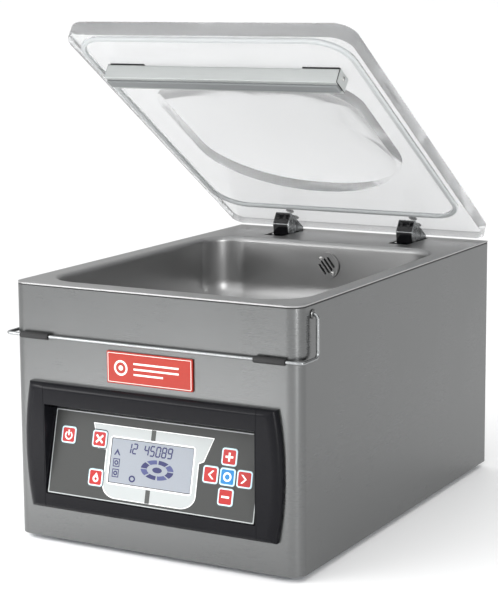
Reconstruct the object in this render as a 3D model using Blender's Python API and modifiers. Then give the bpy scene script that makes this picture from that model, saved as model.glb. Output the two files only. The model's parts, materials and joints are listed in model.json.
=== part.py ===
"""Table-top chamber vacuum packing machine, built as an assembly of separate parts.

Metres, +Z up. +X is the operator's right, -Y is the front with the control panel.
The origin lies on the surface that the feet stand on, under the middle of the machine.
The lid stands open on its lift springs, and the wire bail hangs on the front panel.
"""
import math

import bmesh
import bpy
from mathutils import Vector

# ---------------------------------------------------------------- driving dimensions
GAP = 0.0003                      # between touching pieces

CASING_WIDTH = 0.330
CASING_DEPTH = 0.481
CASING_HEIGHT = 0.2622
CASING_CORNER = 0.015
CASING_SHEET = 0.0012
REAR_FLANGE = 0.014
COVER_SHEET = 0.0012
FOOT_HEIGHT = 0.006

DECK_SHEET = 0.0015
DECK_RISE = 0.0028                # deck's top face above the casing's top edge
DECK_OVERHANG = 0.0022            # behind the casing
DECK_LIP = 0.009

CHAMBER_HALF_WIDTH = 0.1500       # to the outside of the rounded rim
CHAMBER_FRONT = -0.2190
CHAMBER_BACK = 0.1510
CHAMBER_RIM_RADIUS = 0.006
CHAMBER_CORNER = 0.046
CHAMBER_DEPTH = 0.085
CHAMBER_FILLET = 0.034
GRILLE_X = 0.004
GRILLE_BELOW_DECK = 0.027
GRILLE_RADIUS = 0.0155
PORT_RADIUS = 0.0100

HINGE_Y = 0.2226
HINGE_ABOVE_CASING_FLOOR = 0.2367
HINGE_SPACING = 0.1628
SHAFT_RADIUS = 0.005
SHAFT_CLEARANCE = 0.0003
ARM_WIDTH = 0.0215
ARM_REACH = 0.0500                # from the axis to the block's front face
SLOT_WIDTH = 0.0252
SLOT_FRONT = 0.1705
SLOT_BACK = 0.2330

LID_OPEN_ANGLE = math.radians(33.2)
LID_WIDTH = 0.3341
LID_LENGTH = 0.4473
LID_THICKNESS = 0.0163
LID_FACE_ABOVE_HINGE = 0.0313     # underside of the closed lid above the shaft's axis
LID_REAR_FROM_HINGE = 0.0093      # the lid's rear edge lies this far in front of the axis
LID_FRONT_CORNER = 0.022
LID_REAR_CORNER = 0.013
DOME_RISE = 0.030
DOME_WALL = 0.009
DOME_HALF_WIDTH = 0.122
DOME_REAR_INSET = 0.104           # the dome's ends and middle from the lid's rear edge
DOME_MIDDLE_INSET = 0.2295
DOME_FRONT_INSET = 0.352
DOME_FRONT_CORNER = (0.070, 0.060)
DOME_REAR_CORNER = (0.118, 0.096)

GASKET_WIDTH = 0.0054
GASKET_PROUD = 0.0026
GASKET_HALF_WIDTH = 0.1570        # to the ring's centre line
GASKET_FRONT_INSET = 0.0083
GASKET_REAR_INSET = 0.0560
GASKET_CORNER = 0.036
GROOVE_DEPTH = 0.0030

BAR_FROM_FRONT = 0.0673           # lid's front edge to the middle of the sealing line
HOLDER_LENGTH = 0.274
HOLDER_WIDTH = 0.023
HOLDER_DROP = 0.019
STRIP_WIDTH = 0.012
STRIP_PROUD = 0.002
SEAL_BAR_TRAVEL = 0.0042

BAIL_PIVOT_Y = -0.2125
BAIL_PIVOT_ABOVE_FLOOR = 0.2539
BAIL_DROP = 0.0421
BAIL_WIRE_RADIUS = 0.0015
BAIL_BEND = 0.0050
BAIL_SIDE_STANDOFF = 0.0057
BAIL_FRONT_STANDOFF = 0.0040
SLEEVE_RADIUS = 0.0034

PANEL_BOTTOM_ABOVE_FLOOR = 0.033
PANEL_TOP_ABOVE_FLOOR = 0.1646
PANEL_PROUD = 0.010
PANEL_SEAM_X = 0.1230
PANEL_CORNER_X = 0.1425
PANEL_BULGE_X = 0.1490
WINDOW_BOTTOM_ABOVE_FLOOR = 0.0498
WINDOW_TOP_ABOVE_FLOOR = 0.1353
WINDOW_HALF_WIDTH = 0.1205
KEYPAD_TILT = math.radians(13.3)
KEYPAD_SHEET = 0.0025
KEY_SIZE = 0.0172
KEY_HOLE = 0.0178
KEY_CORNER = 0.0030
KEY_PROUD = 0.0005
DISPLAY_WIDTH = 0.0950
DISPLAY_HEIGHT = 0.0442
DISPLAY_CENTRE = (-0.0015, -0.0014)

VALVE_Y = 0.1950                  # the valve's middle, where the hose comes down to it
VALVE_TOP = 0.1750

# Key centres on the tilted keypad: across, and up the slope from its middle.
KEY_PLACES = {
    "key_power": (-0.1018, 0.0178),
    "key_cancel": (-0.0642, 0.0178),
    "key_function": (-0.0642, -0.0212),
    "key_up": (0.0864, 0.0176),
    "key_down": (0.0864, -0.0213),
    "key_previous": (0.0674, -0.0018),
    "key_select": (0.0864, -0.0018),
    "key_next": (0.1054, -0.0018),
}

# ---------------------------------------------------------------- derived places
HALF_WIDTH = CASING_WIDTH / 2
FRONT = -CASING_DEPTH / 2
BACK = CASING_DEPTH / 2
COVER_FACE = BACK + GAP + COVER_SHEET
FLOOR = FOOT_HEIGHT                              # underside of the casing
CASING_TOP = FLOOR + CASING_HEIGHT
DECK_TOP = CASING_TOP + DECK_RISE
HINGE_Z = FLOOR + HINGE_ABOVE_CASING_FLOOR
CHAMBER_FLOOR = DECK_TOP - CHAMBER_DEPTH
CLOSED_LID_FACE = HINGE_Z + LID_FACE_ABOVE_HINGE
LID_REAR = -LID_REAR_FROM_HINGE                  # in the closed lid's own frame
LID_FRONT = LID_REAR - LID_LENGTH
BAR_Y = LID_FRONT + BAR_FROM_FRONT
DOME_REAR = LID_REAR - DOME_REAR_INSET
DOME_MIDDLE = LID_REAR - DOME_MIDDLE_INSET
DOME_FRONT = LID_REAR - DOME_FRONT_INSET
SEAL_LINE_Y = HINGE_Y + BAR_Y
SEAL_BAR_TOP = CLOSED_LID_FACE - HOLDER_DROP - STRIP_PROUD - SEAL_BAR_TRAVEL - GAP
BAIL_PIVOT_Z = FLOOR + BAIL_PIVOT_ABOVE_FLOOR
GRILLE_Z = DECK_TOP - GRILLE_BELOW_DECK
PORT_FACE = CHAMBER_BACK - CHAMBER_RIM_RADIUS    # front of the chamber's rear wall
LEFT_RIGHT = (("left", -1), ("right", 1))
RING_STEPS = 7                                   # facets to each rounded corner of a ring

QUARTER = math.pi / 2
ALONG_X = (0, QUARTER, 0)                        # turns an object's Z axis onto X
ALONG_Y = (QUARTER, 0, 0)                        # onto -Y
SIDE_VIEW = (QUARTER, 0, QUARTER)                # outline's x, y become world Y, Z
FRONT_VIEW = (QUARTER, 0, 0)                     # outline's x, y become world X, Z


# ---------------------------------------------------------------- scene and materials
def clear_scene():
    for old in list(bpy.data.objects):
        bpy.data.objects.remove(old, do_unlink=True)


def new_collection(name):
    collection = bpy.data.collections.new(name)
    bpy.context.scene.collection.children.link(collection)
    return collection


clear_scene()
PARTS = new_collection("vacuum_packing_machine")
CUTTERS = new_collection("cutters")


def material(name, colour, roughness, metallic=0.0, alpha=1.0):
    made = bpy.data.materials.get(name)
    if made is None:
        made = bpy.data.materials.new(name)
        made.use_nodes = True
        shader = made.node_tree.nodes["Principled BSDF"]
        shader.inputs["Base Color"].default_value = (*colour, 1)
        shader.inputs["Roughness"].default_value = roughness
        shader.inputs["Metallic"].default_value = metallic
        shader.inputs["Alpha"].default_value = alpha
    return made


FINISHES = {
    "brushed_steel": ((0.56, 0.56, 0.55), 0.32, 1.0),
    "chamber_steel": ((0.62, 0.61, 0.59), 0.28, 1.0),
    "chrome": ((0.78, 0.78, 0.79), 0.08, 1.0),
    "aluminium": ((0.72, 0.73, 0.73), 0.35, 1.0),
    "zinc_steel": ((0.50, 0.52, 0.55), 0.40, 1.0),
    "cast_housing": ((0.22, 0.26, 0.30), 0.50, 0.6),
    "acrylic": ((0.93, 0.95, 0.95), 0.05, 0.0, 0.35),
    "black_rubber": ((0.03, 0.03, 0.03), 0.80),
    "grey_silicone": ((0.40, 0.41, 0.42), 0.65),
    "dark_plastic": ((0.035, 0.036, 0.04), 0.40),
    "keypad_film": ((0.13, 0.13, 0.125), 0.45),
    "display_glass": ((0.42, 0.46, 0.50), 0.12),
    "green_board": ((0.03, 0.20, 0.08), 0.50),
    "key_red": ((0.75, 0.045, 0.03), 0.35),
    "key_blue": ((0.0, 0.28, 0.62), 0.35),
    "badge_red": ((0.55, 0.055, 0.02), 0.35),
    "brown_band": ((0.30, 0.19, 0.10), 0.50),
}


def finish(name):
    return material(name, *FINISHES[name])


# ---------------------------------------------------------------- placing objects
def empty(name, location, rotation=(0, 0, 0)):
    frame = bpy.data.objects.new(name, None)
    PARTS.objects.link(frame)
    frame.location = location
    frame.rotation_euler = rotation
    return frame


def add(name, mesh, look, location=(0, 0, 0), rotation=(0, 0, 0), parent=None):
    obj = bpy.data.objects.new(name, mesh)
    PARTS.objects.link(obj)
    obj.parent = parent
    obj.location = location
    obj.rotation_euler = rotation
    if look:
        obj.data.materials.append(finish(look))
    return obj


def mesh_from(name, bm):
    mesh = bpy.data.meshes.new(name)
    bm.to_mesh(mesh)
    bm.free()
    return mesh


def bevel(obj, width, segments=2, angle=math.radians(40)):
    modifier = obj.modifiers.new("edges", "BEVEL")
    modifier.width = width
    modifier.segments = segments
    modifier.limit_method = "ANGLE"
    modifier.angle_limit = angle
    return obj


def boolean(obj, tool, operation):
    """Cuts the tool from the object, or joins it on, and keeps the tool as a guide."""
    PARTS.objects.unlink(tool)
    CUTTERS.objects.link(tool)
    tool.hide_render = True
    tool.display_type = "WIRE"
    modifier = obj.modifiers.new(tool.name, "BOOLEAN")
    modifier.operation = operation
    modifier.solver = "EXACT"
    modifier.object = tool
    return obj


def cut(obj, tool):
    return boolean(obj, tool, "DIFFERENCE")


def join(obj, tool):
    return boolean(obj, tool, "UNION")


def smooth(obj, angle=math.radians(35)):
    obj.data.shade_smooth()
    obj.data.set_sharp_from_angle(angle=angle)
    return obj


# ---------------------------------------------------------------- shapes
def box(name, look, low, high, parent=None):
    """A block between two corners, its origin at its middle."""
    size = Vector(high) - Vector(low)
    bm = bmesh.new()
    bmesh.ops.create_cube(bm, size=1)
    bmesh.ops.scale(bm, vec=size, verts=bm.verts)
    middle = (Vector(low) + Vector(high)) / 2
    return add(name, mesh_from(name, bm), look, middle, parent=parent)


def rod(name, look, radius, length, middle, rotation=(0, 0, 0), parent=None, segments=24):
    bm = bmesh.new()
    bmesh.ops.create_cone(bm, cap_ends=True, segments=segments,
                          radius1=radius, radius2=radius, depth=length)
    return smooth(add(name, mesh_from(name, bm), look, middle, rotation, parent))


def turned(name, look, profile, location, rotation=(0, 0, 0), steps=24, closed=False):
    """A profile of (radius, height), down its outer side, turned about its Z axis."""
    bm = bmesh.new()
    points = [bm.verts.new((radius, 0, height)) for radius, height in profile]
    for first, second in zip(points, points[1:]):
        bm.edges.new((first, second))
    if closed:
        bm.edges.new((points[-1], points[0]))
    obj = add(name, mesh_from(name, bm), look, location, rotation)
    screw = obj.modifiers.new("turn", "SCREW")
    screw.angle = 2 * math.pi
    screw.steps = steps
    screw.render_steps = steps
    screw.use_merge_vertices = True
    screw.merge_threshold = 0.00001
    return obj


def arc(centre, radius_x, radius_y, start, end, steps):
    """Points on an elliptical arc, both ends included."""
    angles = [start + (end - start) * i / steps for i in range(steps + 1)]
    return [(centre[0] + radius_x * math.cos(a), centre[1] + radius_y * math.sin(a))
            for a in angles]


def outline(half_x, low_y, high_y, low_corner, high_corner, steps=5):
    """A four-cornered outline; each corner radius is a number or an (x, y) pair."""
    low = low_corner if isinstance(low_corner, tuple) else (low_corner, low_corner)
    high = high_corner if isinstance(high_corner, tuple) else (high_corner, high_corner)
    points = []
    corners = (
        ((half_x - low[0], low_y + low[1]), low, -QUARTER),
        ((half_x - high[0], high_y - high[1]), high, 0),
        ((high[0] - half_x, high_y - high[1]), high, QUARTER),
        ((low[0] - half_x, low_y + low[1]), low, math.pi),
    )
    for centre, radii, start in corners:
        points += arc(centre, radii[0], radii[1], start, start + QUARTER, steps)
    return points


def rounded_rectangle(centre, width, height, corner, steps=3):
    loop = outline(width / 2, -height / 2, height / 2, corner, corner, steps)
    return [(x + centre[0], y + centre[1]) for x, y in loop]


def mesh_of_curve(obj, one_loop):
    """The curve object's surface as one welded mesh; the curve is removed."""
    graph = bpy.context.evaluated_depsgraph_get()
    mesh = bpy.data.meshes.new_from_object(obj.evaluated_get(graph))
    bm = bmesh.new()
    bm.from_mesh(mesh)
    bmesh.ops.remove_doubles(bm, verts=bm.verts, dist=0.000001)
    if one_loop:
        bmesh.ops.dissolve_limit(bm, angle_limit=math.radians(0.1), verts=bm.verts, edges=bm.edges)
    bmesh.ops.recalc_face_normals(bm, faces=bm.faces)
    bm.to_mesh(mesh)
    bm.free()
    curve = obj.data
    bpy.data.objects.remove(obj, do_unlink=True)
    bpy.data.curves.remove(curve)
    return mesh


def plate(name, look, loops, thickness, location, rotation=(0, 0, 0), parent=None):
    """A flat outline, and any holes in it, with its thickness about its own plane."""
    curve = bpy.data.curves.new(name, "CURVE")
    curve.dimensions = "2D"
    curve.fill_mode = "BOTH"
    curve.extrude = thickness / 2
    for loop in loops:
        spline = curve.splines.new("POLY")
        spline.points.add(len(loop) - 1)
        for point, (x, y) in zip(spline.points, loop):
            point.co = (x, y, 0, 1)
        spline.use_cyclic_u = True
    drawn = bpy.data.objects.new(name + "_outline", curve)
    PARTS.objects.link(drawn)
    return add(name, mesh_of_curve(drawn, len(loops) == 1), look, location, rotation, parent)


def loft(name, look, rings, location=(0, 0, 0), parent=None, cap_first=True, cap_last=True):
    """A skin over rings of equal point counts, closed at either end by a flat cap."""
    bm = bmesh.new()
    loops = [[bm.verts.new(point) for point in ring] for ring in rings]
    for lower, upper in zip(loops, loops[1:]):
        count = len(lower)
        for i in range(count):
            j = (i + 1) % count
            bm.faces.new((lower[i], lower[j], upper[j], upper[i]))
    if cap_first:
        bm.faces.new(list(reversed(loops[0])))
    if cap_last:
        bm.faces.new(loops[-1])
    bmesh.ops.recalc_face_normals(bm, faces=bm.faces)
    return add(name, mesh_from(name, bm), look, location, parent=parent)


def at_height(loop, z):
    return [(x, y, z) for x, y in loop]


def wire(name, look, points, radius, location=(0, 0, 0), parent=None):
    curve = bpy.data.curves.new(name, "CURVE")
    curve.dimensions = "3D"
    curve.bevel_depth = radius
    curve.bevel_resolution = 2
    curve.use_fill_caps = True
    spline = curve.splines.new("POLY")
    spline.points.add(len(points) - 1)
    for point, place in zip(spline.points, points):
        point.co = (*place, 1)
    return add(name, curve, look, location, parent=parent)


def rounded_path(corners, radius, steps=5):
    """A polyline through the corners, each inner corner turned on an arc."""
    path = [Vector(corners[0])]
    for before, corner, after in zip(corners, corners[1:], corners[2:]):
        corner = Vector(corner)
        to_before = (Vector(before) - corner).normalized()
        to_after = (Vector(after) - corner).normalized()
        half = to_before.angle(to_after) / 2
        reach = radius / math.tan(half)
        centre = corner + (to_before + to_after).normalized() * (radius / math.sin(half))
        start = (corner + to_before * reach - centre).normalized()
        end = (corner + to_after * reach - centre).normalized()
        for i in range(steps + 1):
            path.append(centre + start.slerp(end, i / steps) * radius)
    path.append(Vector(corners[-1]))
    return path


# ---------------------------------------------------------------- casing
def make_casing():
    """One sheet folded round the front and both sides, with narrow flanges at the back."""
    inner_x = HALF_WIDTH - REAR_FLANGE
    corner_y = FRONT + CASING_CORNER
    corner_x = HALF_WIDTH - CASING_CORNER
    path = [(inner_x, BACK), (HALF_WIDTH, BACK)]
    path += arc((corner_x, corner_y), CASING_CORNER, CASING_CORNER, 0, -QUARTER, 6)
    path += arc((-corner_x, corner_y), CASING_CORNER, CASING_CORNER, -QUARTER, -math.pi, 6)
    path += [(-HALF_WIDTH, BACK), (-inner_x, BACK)]
    bm = bmesh.new()
    rows = [[bm.verts.new((x, y, z)) for x, y in path] for z in (FLOOR, CASING_TOP)]
    for i in range(len(path) - 1):
        bm.faces.new((rows[0][i], rows[1][i], rows[1][i + 1], rows[0][i + 1]))
    casing = add("casing_shell", mesh_from("casing_shell", bm), "brushed_steel")
    shell = casing.modifiers.new("sheet", "SOLIDIFY")
    shell.thickness = CASING_SHEET
    shell.offset = -1
    middle = FLOOR + (WINDOW_BOTTOM_ABOVE_FLOOR + WINDOW_TOP_ABOVE_FLOOR) / 2
    height = WINDOW_TOP_ABOVE_FLOOR - WINDOW_BOTTOM_ABOVE_FLOOR + 0.012
    cut(casing, box("casing_panel_opening", None,
                    (-PANEL_SEAM_X - 0.001, FRONT - 0.004, middle - height / 2),
                    (PANEL_SEAM_X + 0.001, FRONT + 0.004, middle + height / 2)))
    cut(casing, rod("casing_bail_holes", None, 0.0040, CASING_WIDTH + 0.02,
                    (0, BAIL_PIVOT_Y, BAIL_PIVOT_Z), ALONG_X, segments=20))
    smooth(casing)


def make_base():
    inner = CASING_SHEET + GAP
    loop = outline(HALF_WIDTH - inner, FRONT + inner, BACK - inner,
                   CASING_CORNER - inner, 0.002)
    thickness = 0.0015
    plate("base_plate", "zinc_steel", [loop], thickness, (0, 0, FLOOR + thickness / 2))
    foot_top = FLOOR - GAP
    places = [(side, end, x * 0.125, y * 0.190) for side, x in LEFT_RIGHT
              for end, y in (("front", -1), ("rear", 1))]
    for side, end, x, y in places:
        turned(f"foot_{end}_{side}", "black_rubber",
               [(0, foot_top), (0.0125, foot_top), (0.0110, 0.0006), (0.0104, 0),
                (0, 0)], (x, y, 0), steps=20)


def make_rear_cover():
    """Screwed on the casing's flanges, with rows of air slots and two cut-outs."""
    bottom = FLOOR + 0.008
    width, height = 0.318, DECK_TOP - DECK_LIP - 0.0008 - bottom
    middle_z = bottom + height / 2
    loops = [rounded_rectangle((0, 0), width, height, 0.004)]
    for column in (-0.085, 0.085):
        for row in range(6):
            loops.append(rounded_rectangle((column, 0.035 + 0.012 * row), 0.090, 0.005, 0.0024, 2))
    inlet, exhaust = (-0.105, -0.075), (0.085, -0.060)
    loops.append(rounded_rectangle(inlet, 0.0280, 0.0210, 0.0006, 1))
    loops.append(arc(exhaust, 0.0165, 0.0165, 0, 2 * math.pi * 23 / 24, 23))
    plate("rear_cover", "brushed_steel", loops, COVER_SHEET,
          (0, BACK + GAP + COVER_SHEET / 2, middle_z), FRONT_VIEW)
    make_mains_inlet((inlet[0], middle_z + inlet[1]))
    make_exhaust((exhaust[0], middle_z + exhaust[1]))


def make_mains_inlet(place):
    """A three-pin appliance inlet, its socket open to the rear."""
    x, z = place
    face = COVER_FACE + GAP
    inlet = box("mains_inlet", "dark_plastic", (x - 0.0135, face - 0.024, z - 0.0100),
                (x + 0.0135, face + 0.0005, z + 0.0100))
    flange = box("inlet_flange", None, (x - 0.0240, face, z - 0.0135),
                 (x + 0.0240, face + 0.0028, z + 0.0135))
    join(inlet, flange)
    cut(inlet, box("inlet_socket", None, (x - 0.0115, face - 0.0170, z - 0.0078),
                   (x + 0.0115, face + 0.0100, z + 0.0078)))
    for number, (dx, dz) in enumerate(((-0.007, -0.002), (0, 0.002), (0.007, -0.002))):
        join(inlet, box(f"inlet_pin_{number}", None,
                        (x + dx - 0.0010, face - 0.0180, z + dz - 0.0020),
                        (x + dx + 0.0010, face - 0.0040, z + dz + 0.0020)))


def make_exhaust(place):
    """The oil-mist filter's screw cap: its neck goes in through the rear cover."""
    x, z = place
    face = COVER_FACE + GAP
    proud = -FRONT + PANEL_PROUD - face
    profile = [(0, proud), (0.0165, proud), (0.0190, proud - 0.002), (0.0200, 0),
               (0.0160, 0), (0.0160, -0.018), (0, -0.018)]
    turned("exhaust_cap", "dark_plastic", profile, (x, face, z), (-QUARTER, 0, 0), steps=28)


# ---------------------------------------------------------------- chamber and deck
def make_deck():
    """The top plate and the deep-drawn chamber in one piece of sheet."""
    rings = [at_height(outline(HALF_WIDTH, FRONT, BACK + DECK_OVERHANG,
                               CASING_CORNER, 0.001, RING_STEPS), DECK_TOP)]
    for i in range(5):
        angle = QUARTER * i / 4
        rings.append(chamber_ring(CHAMBER_RIM_RADIUS * math.sin(angle),
                                  CHAMBER_RIM_RADIUS * (1 - math.cos(angle))))
    wall = CHAMBER_RIM_RADIUS
    foot = CHAMBER_DEPTH - CHAMBER_FILLET
    for i in range(7):
        angle = QUARTER * i / 6
        rings.append(chamber_ring(wall + CHAMBER_FILLET * (1 - math.cos(angle)),
                                  foot + CHAMBER_FILLET * math.sin(angle)))
    deck = loft("chamber_deck", "chamber_steel", rings, cap_first=False)
    add_rear_lip(deck)
    sheet = deck.modifiers.new("sheet", "SOLIDIFY")
    sheet.thickness = DECK_SHEET
    sheet.offset = -1
    for side, sign in LEFT_RIGHT:
        x = sign * HINGE_SPACING / 2
        cut(deck, box(f"hinge_slot_{side}", None,
                      (x - SLOT_WIDTH / 2, SLOT_FRONT, DECK_TOP - 0.006),
                      (x + SLOT_WIDTH / 2, SLOT_BACK, DECK_TOP + 0.006)))
    cut(deck, rod("suction_port", None, PORT_RADIUS, 0.03,
                  (GRILLE_X, PORT_FACE, GRILLE_Z), ALONG_Y))
    smooth(deck)


def chamber_ring(inset, fall):
    corner = CHAMBER_CORNER - inset
    loop = outline(CHAMBER_HALF_WIDTH - inset, CHAMBER_FRONT + inset,
                   CHAMBER_BACK - inset, corner, corner, RING_STEPS)
    return at_height(loop, DECK_TOP - fall)


def add_rear_lip(deck):
    """Folds the deck's rear edge down behind the casing."""
    bm = bmesh.new()
    bm.from_mesh(deck.data)
    rear = BACK + DECK_OVERHANG - 0.00001
    edge = [e for e in bm.edges if e.is_boundary and all(v.co.y > rear for v in e.verts)]
    made = bmesh.ops.extrude_edge_only(bm, edges=edge)
    fresh = [item for item in made["geom"] if isinstance(item, bmesh.types.BMVert)]
    bmesh.ops.translate(bm, vec=(0, 0, -DECK_LIP), verts=fresh)
    bm.to_mesh(deck.data)
    bm.free()


def make_suction_grille():
    """A slotted disc over the suction port in the chamber's rear wall."""
    thickness = 0.002
    rim = arc((0, 0), GRILLE_RADIUS, GRILLE_RADIUS, 0, 2 * math.pi * 27 / 28, 27)
    slant = math.radians(-52)
    slot_width, slot_pitch, longest = 0.0026, 0.0046, 0.0190
    loops = [rim]
    for row in (-1.5, -0.5, 0.5, 1.5):
        offset = row * slot_pitch
        length = longest - 0.6 * abs(offset)
        slot = rounded_rectangle((0, offset), length, slot_width, slot_width * 0.48, 2)
        loops.append([(x * math.cos(slant) - y * math.sin(slant),
                       x * math.sin(slant) + y * math.cos(slant)) for x, y in slot])
    plate("suction_grille", "chamber_steel", loops, thickness,
          (GRILLE_X, PORT_FACE - GAP - thickness / 2, GRILLE_Z), FRONT_VIEW)


def make_seal_bar():
    """The heated bar, which two pistons lift from the chamber floor against the lid."""
    bar_height = 0.022
    band = 0.0008
    body_top = SEAL_BAR_TOP - band - GAP
    half = HOLDER_LENGTH / 2
    bevel(box("seal_bar", "aluminium", (-half, SEAL_LINE_Y - 0.0065, body_top - bar_height),
              (half, SEAL_LINE_Y + 0.0065, body_top)), 0.001)
    box("sealing_band", "brown_band", (-half + 0.002, SEAL_LINE_Y - 0.005, SEAL_BAR_TOP - band),
        (half - 0.002, SEAL_LINE_Y + 0.005, SEAL_BAR_TOP))
    cylinder_top = CHAMBER_FLOOR + 0.030
    piston_top = body_top - bar_height - GAP
    piston_foot = CHAMBER_FLOOR + 0.008
    for side, sign in LEFT_RIGHT:
        x = sign * 0.088
        foot = CHAMBER_FLOOR + GAP
        turned(f"lifter_cylinder_{side}", "dark_plastic",
               [(0.0053, cylinder_top), (0.0095, cylinder_top), (0.0110, cylinder_top - 0.003),
                (0.0110, foot + 0.004), (0.0140, foot + 0.003), (0.0140, foot),
                (0.0053, foot)], (x, SEAL_LINE_Y, 0), steps=20, closed=True)
        rod(f"lifter_piston_{side}", "aluminium", 0.0050, piston_top - piston_foot,
            (x, SEAL_LINE_Y, (piston_top + piston_foot) / 2), segments=20)


# ---------------------------------------------------------------- lid
def make_lid():
    pivot = empty("lid_pivot", (0, HINGE_Y, HINGE_Z), (-LID_OPEN_ANGLE, 0, 0))
    make_lid_panel(pivot)
    make_gasket(pivot)
    make_silicone_holder(pivot)
    for side, sign in LEFT_RIGHT:
        make_hinge_arm(f"hinge_arm_{side}", sign * HINGE_SPACING / 2, pivot)


def dome_ring(scale, spread):
    """The dome's outline: round at the rear, squarer at the front, shrunk about its middle."""
    loop = outline(DOME_HALF_WIDTH + spread, DOME_FRONT - spread, DOME_REAR + spread,
                   DOME_FRONT_CORNER, DOME_REAR_CORNER, RING_STEPS)
    return [(x * scale, DOME_MIDDLE + (y - DOME_MIDDLE) * scale) for x, y in loop]


def gasket_ring(offset):
    """The gasket's centre line, moved outwards by the offset."""
    corner = GASKET_CORNER + offset
    return outline(GASKET_HALF_WIDTH + offset, LID_FRONT + GASKET_FRONT_INSET - offset,
                   LID_REAR - GASKET_REAR_INSET + offset, corner, corner, RING_STEPS)


def edge_ring(inset):
    return outline(LID_WIDTH / 2 - inset, LID_FRONT + inset, LID_REAR - inset,
                   LID_FRONT_CORNER - inset, LID_REAR_CORNER - inset, RING_STEPS)


def make_lid_panel(pivot):
    """A thick clear plate, drawn up into a dome, with a groove for the gasket."""
    under = LID_FACE_ABOVE_HINGE
    over = under + LID_THICKNESS
    outer_rise = DOME_RISE + DOME_WALL - LID_THICKNESS
    scales = (0.25, 0.50, 0.70, 0.84, 0.93, 0.98)
    groove = GASKET_WIDTH / 2 + GAP
    chamfer = 0.0012
    spread = 0.006

    def rise(scale):
        return (1 - scale ** 4) ** 0.75

    rings = [at_height(dome_ring(s, 0), under + DOME_RISE * rise(s)) for s in scales]
    rings += [
        at_height(dome_ring(1, 0), under),
        at_height(gasket_ring(-groove), under),
        at_height(gasket_ring(-groove), under + GROOVE_DEPTH),
        at_height(gasket_ring(groove), under + GROOVE_DEPTH),
        at_height(gasket_ring(groove), under),
        at_height(edge_ring(chamfer), under),
        at_height(edge_ring(0), under + chamfer),
        at_height(edge_ring(0), over - chamfer),
        at_height(edge_ring(chamfer), over),
        at_height(dome_ring(1, spread), over),
    ]
    rings += [at_height(dome_ring(s, spread), over + outer_rise * rise(s))
              for s in reversed(scales)]
    smooth(loft("lid_panel", "acrylic", rings, parent=pivot))


def make_gasket(pivot):
    """A soft square-section ring that stands proud of the lid's underside."""
    half = GASKET_WIDTH / 2
    top = LID_FACE_ABOVE_HINGE + GROOVE_DEPTH - GAP
    bottom = LID_FACE_ABOVE_HINGE - GASKET_PROUD
    plate("lid_gasket", "grey_silicone", [gasket_ring(half), gasket_ring(-half)],
          top - bottom, (0, 0, (top + bottom) / 2), parent=pivot)


def make_silicone_holder(pivot):
    """The bar under the lid: an aluminium channel with a silicone strip in its groove."""
    half = HOLDER_LENGTH / 2
    pad = 0.0016
    top = LID_FACE_ABOVE_HINGE - GAP - pad - GAP
    bottom = LID_FACE_ABOVE_HINGE - HOLDER_DROP
    groove = 0.007
    front, back = BAR_Y - HOLDER_WIDTH / 2, BAR_Y + HOLDER_WIDTH / 2
    slot = STRIP_WIDTH / 2 + GAP
    section = [(front, bottom), (BAR_Y - slot, bottom), (BAR_Y - slot, bottom + groove),
               (BAR_Y + slot, bottom + groove), (BAR_Y + slot, bottom), (back, bottom),
               (back, top - 0.002), (back - 0.002, top), (front + 0.002, top),
               (front, top - 0.002)]
    plate("silicone_holder", "aluminium", [section], HOLDER_LENGTH, (0, 0, 0), SIDE_VIEW, pivot)
    box("silicone_strip", "grey_silicone",
        (-half + 0.001, BAR_Y - STRIP_WIDTH / 2, bottom - STRIP_PROUD),
        (half - 0.001, BAR_Y + STRIP_WIDTH / 2, bottom + groove - GAP), pivot)
    for side, sign in LEFT_RIGHT:
        inner, outer = sorted((sign * (half - 0.043), sign * (half - 0.001)))
        box(f"holder_pad_{side}", "black_rubber",
            (inner, front + 0.002, LID_FACE_ABOVE_HINGE - GAP - pad),
            (outer, back - 0.002, LID_FACE_ABOVE_HINGE - GAP), pivot)


def make_hinge_arm(name, x, pivot):
    """A chromed block under the lid that reaches down through the deck to the shaft."""
    top = LID_FACE_ABOVE_HINGE - GAP
    boss = 0.0090
    side = [(-0.0120, top), (-ARM_REACH, top), (-ARM_REACH, 0.0150), (-0.0410, 0.0050),
            (-0.0150, -0.0020)]
    side += arc((0, 0), boss, boss, math.radians(230), math.radians(370), 9)
    arm = plate(name, "chrome", [side], ARM_WIDTH, (x, 0, 0), SIDE_VIEW, pivot)
    bevel(arm, 0.0008, 1, math.radians(30))
    cut(arm, rod(name + "_bore", None, SHAFT_RADIUS + SHAFT_CLEARANCE, ARM_WIDTH * 2,
                 (x, 0, 0), ALONG_X, pivot))


def make_hinge_shaft():
    """The fixed shaft under the deck, its two brackets, and the springs that lift the lid."""
    arm_outer = HINGE_SPACING / 2 + ARM_WIDTH / 2
    bracket = 0.003
    half_length = arm_outer + 0.002 + bracket + 0.004
    rod("hinge_shaft", "zinc_steel", SHAFT_RADIUS, 2 * half_length,
        (0, HINGE_Y, HINGE_Z), ALONG_X)
    deck_under = DECK_TOP - DECK_SHEET - GAP - HINGE_Z
    for side, sign in LEFT_RIGHT:
        x = sign * (arm_outer + 0.002 + bracket / 2)
        bore = arc((0, 0), SHAFT_RADIUS + SHAFT_CLEARANCE, SHAFT_RADIUS + SHAFT_CLEARANCE,
                   0, 2 * math.pi * 23 / 24, 23)
        cheek = [(-0.013, deck_under), (-0.013, 0)]
        cheek += arc((0, 0), 0.013, 0.013, math.pi, 2 * math.pi, 8)[1:]
        cheek += [(0.013, deck_under)]
        plate(f"hinge_bracket_{side}", "zinc_steel", [cheek, bore], bracket,
              (x, HINGE_Y, HINGE_Z), SIDE_VIEW)
        make_lift_spring(f"lid_spring_{side}", sign)


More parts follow.
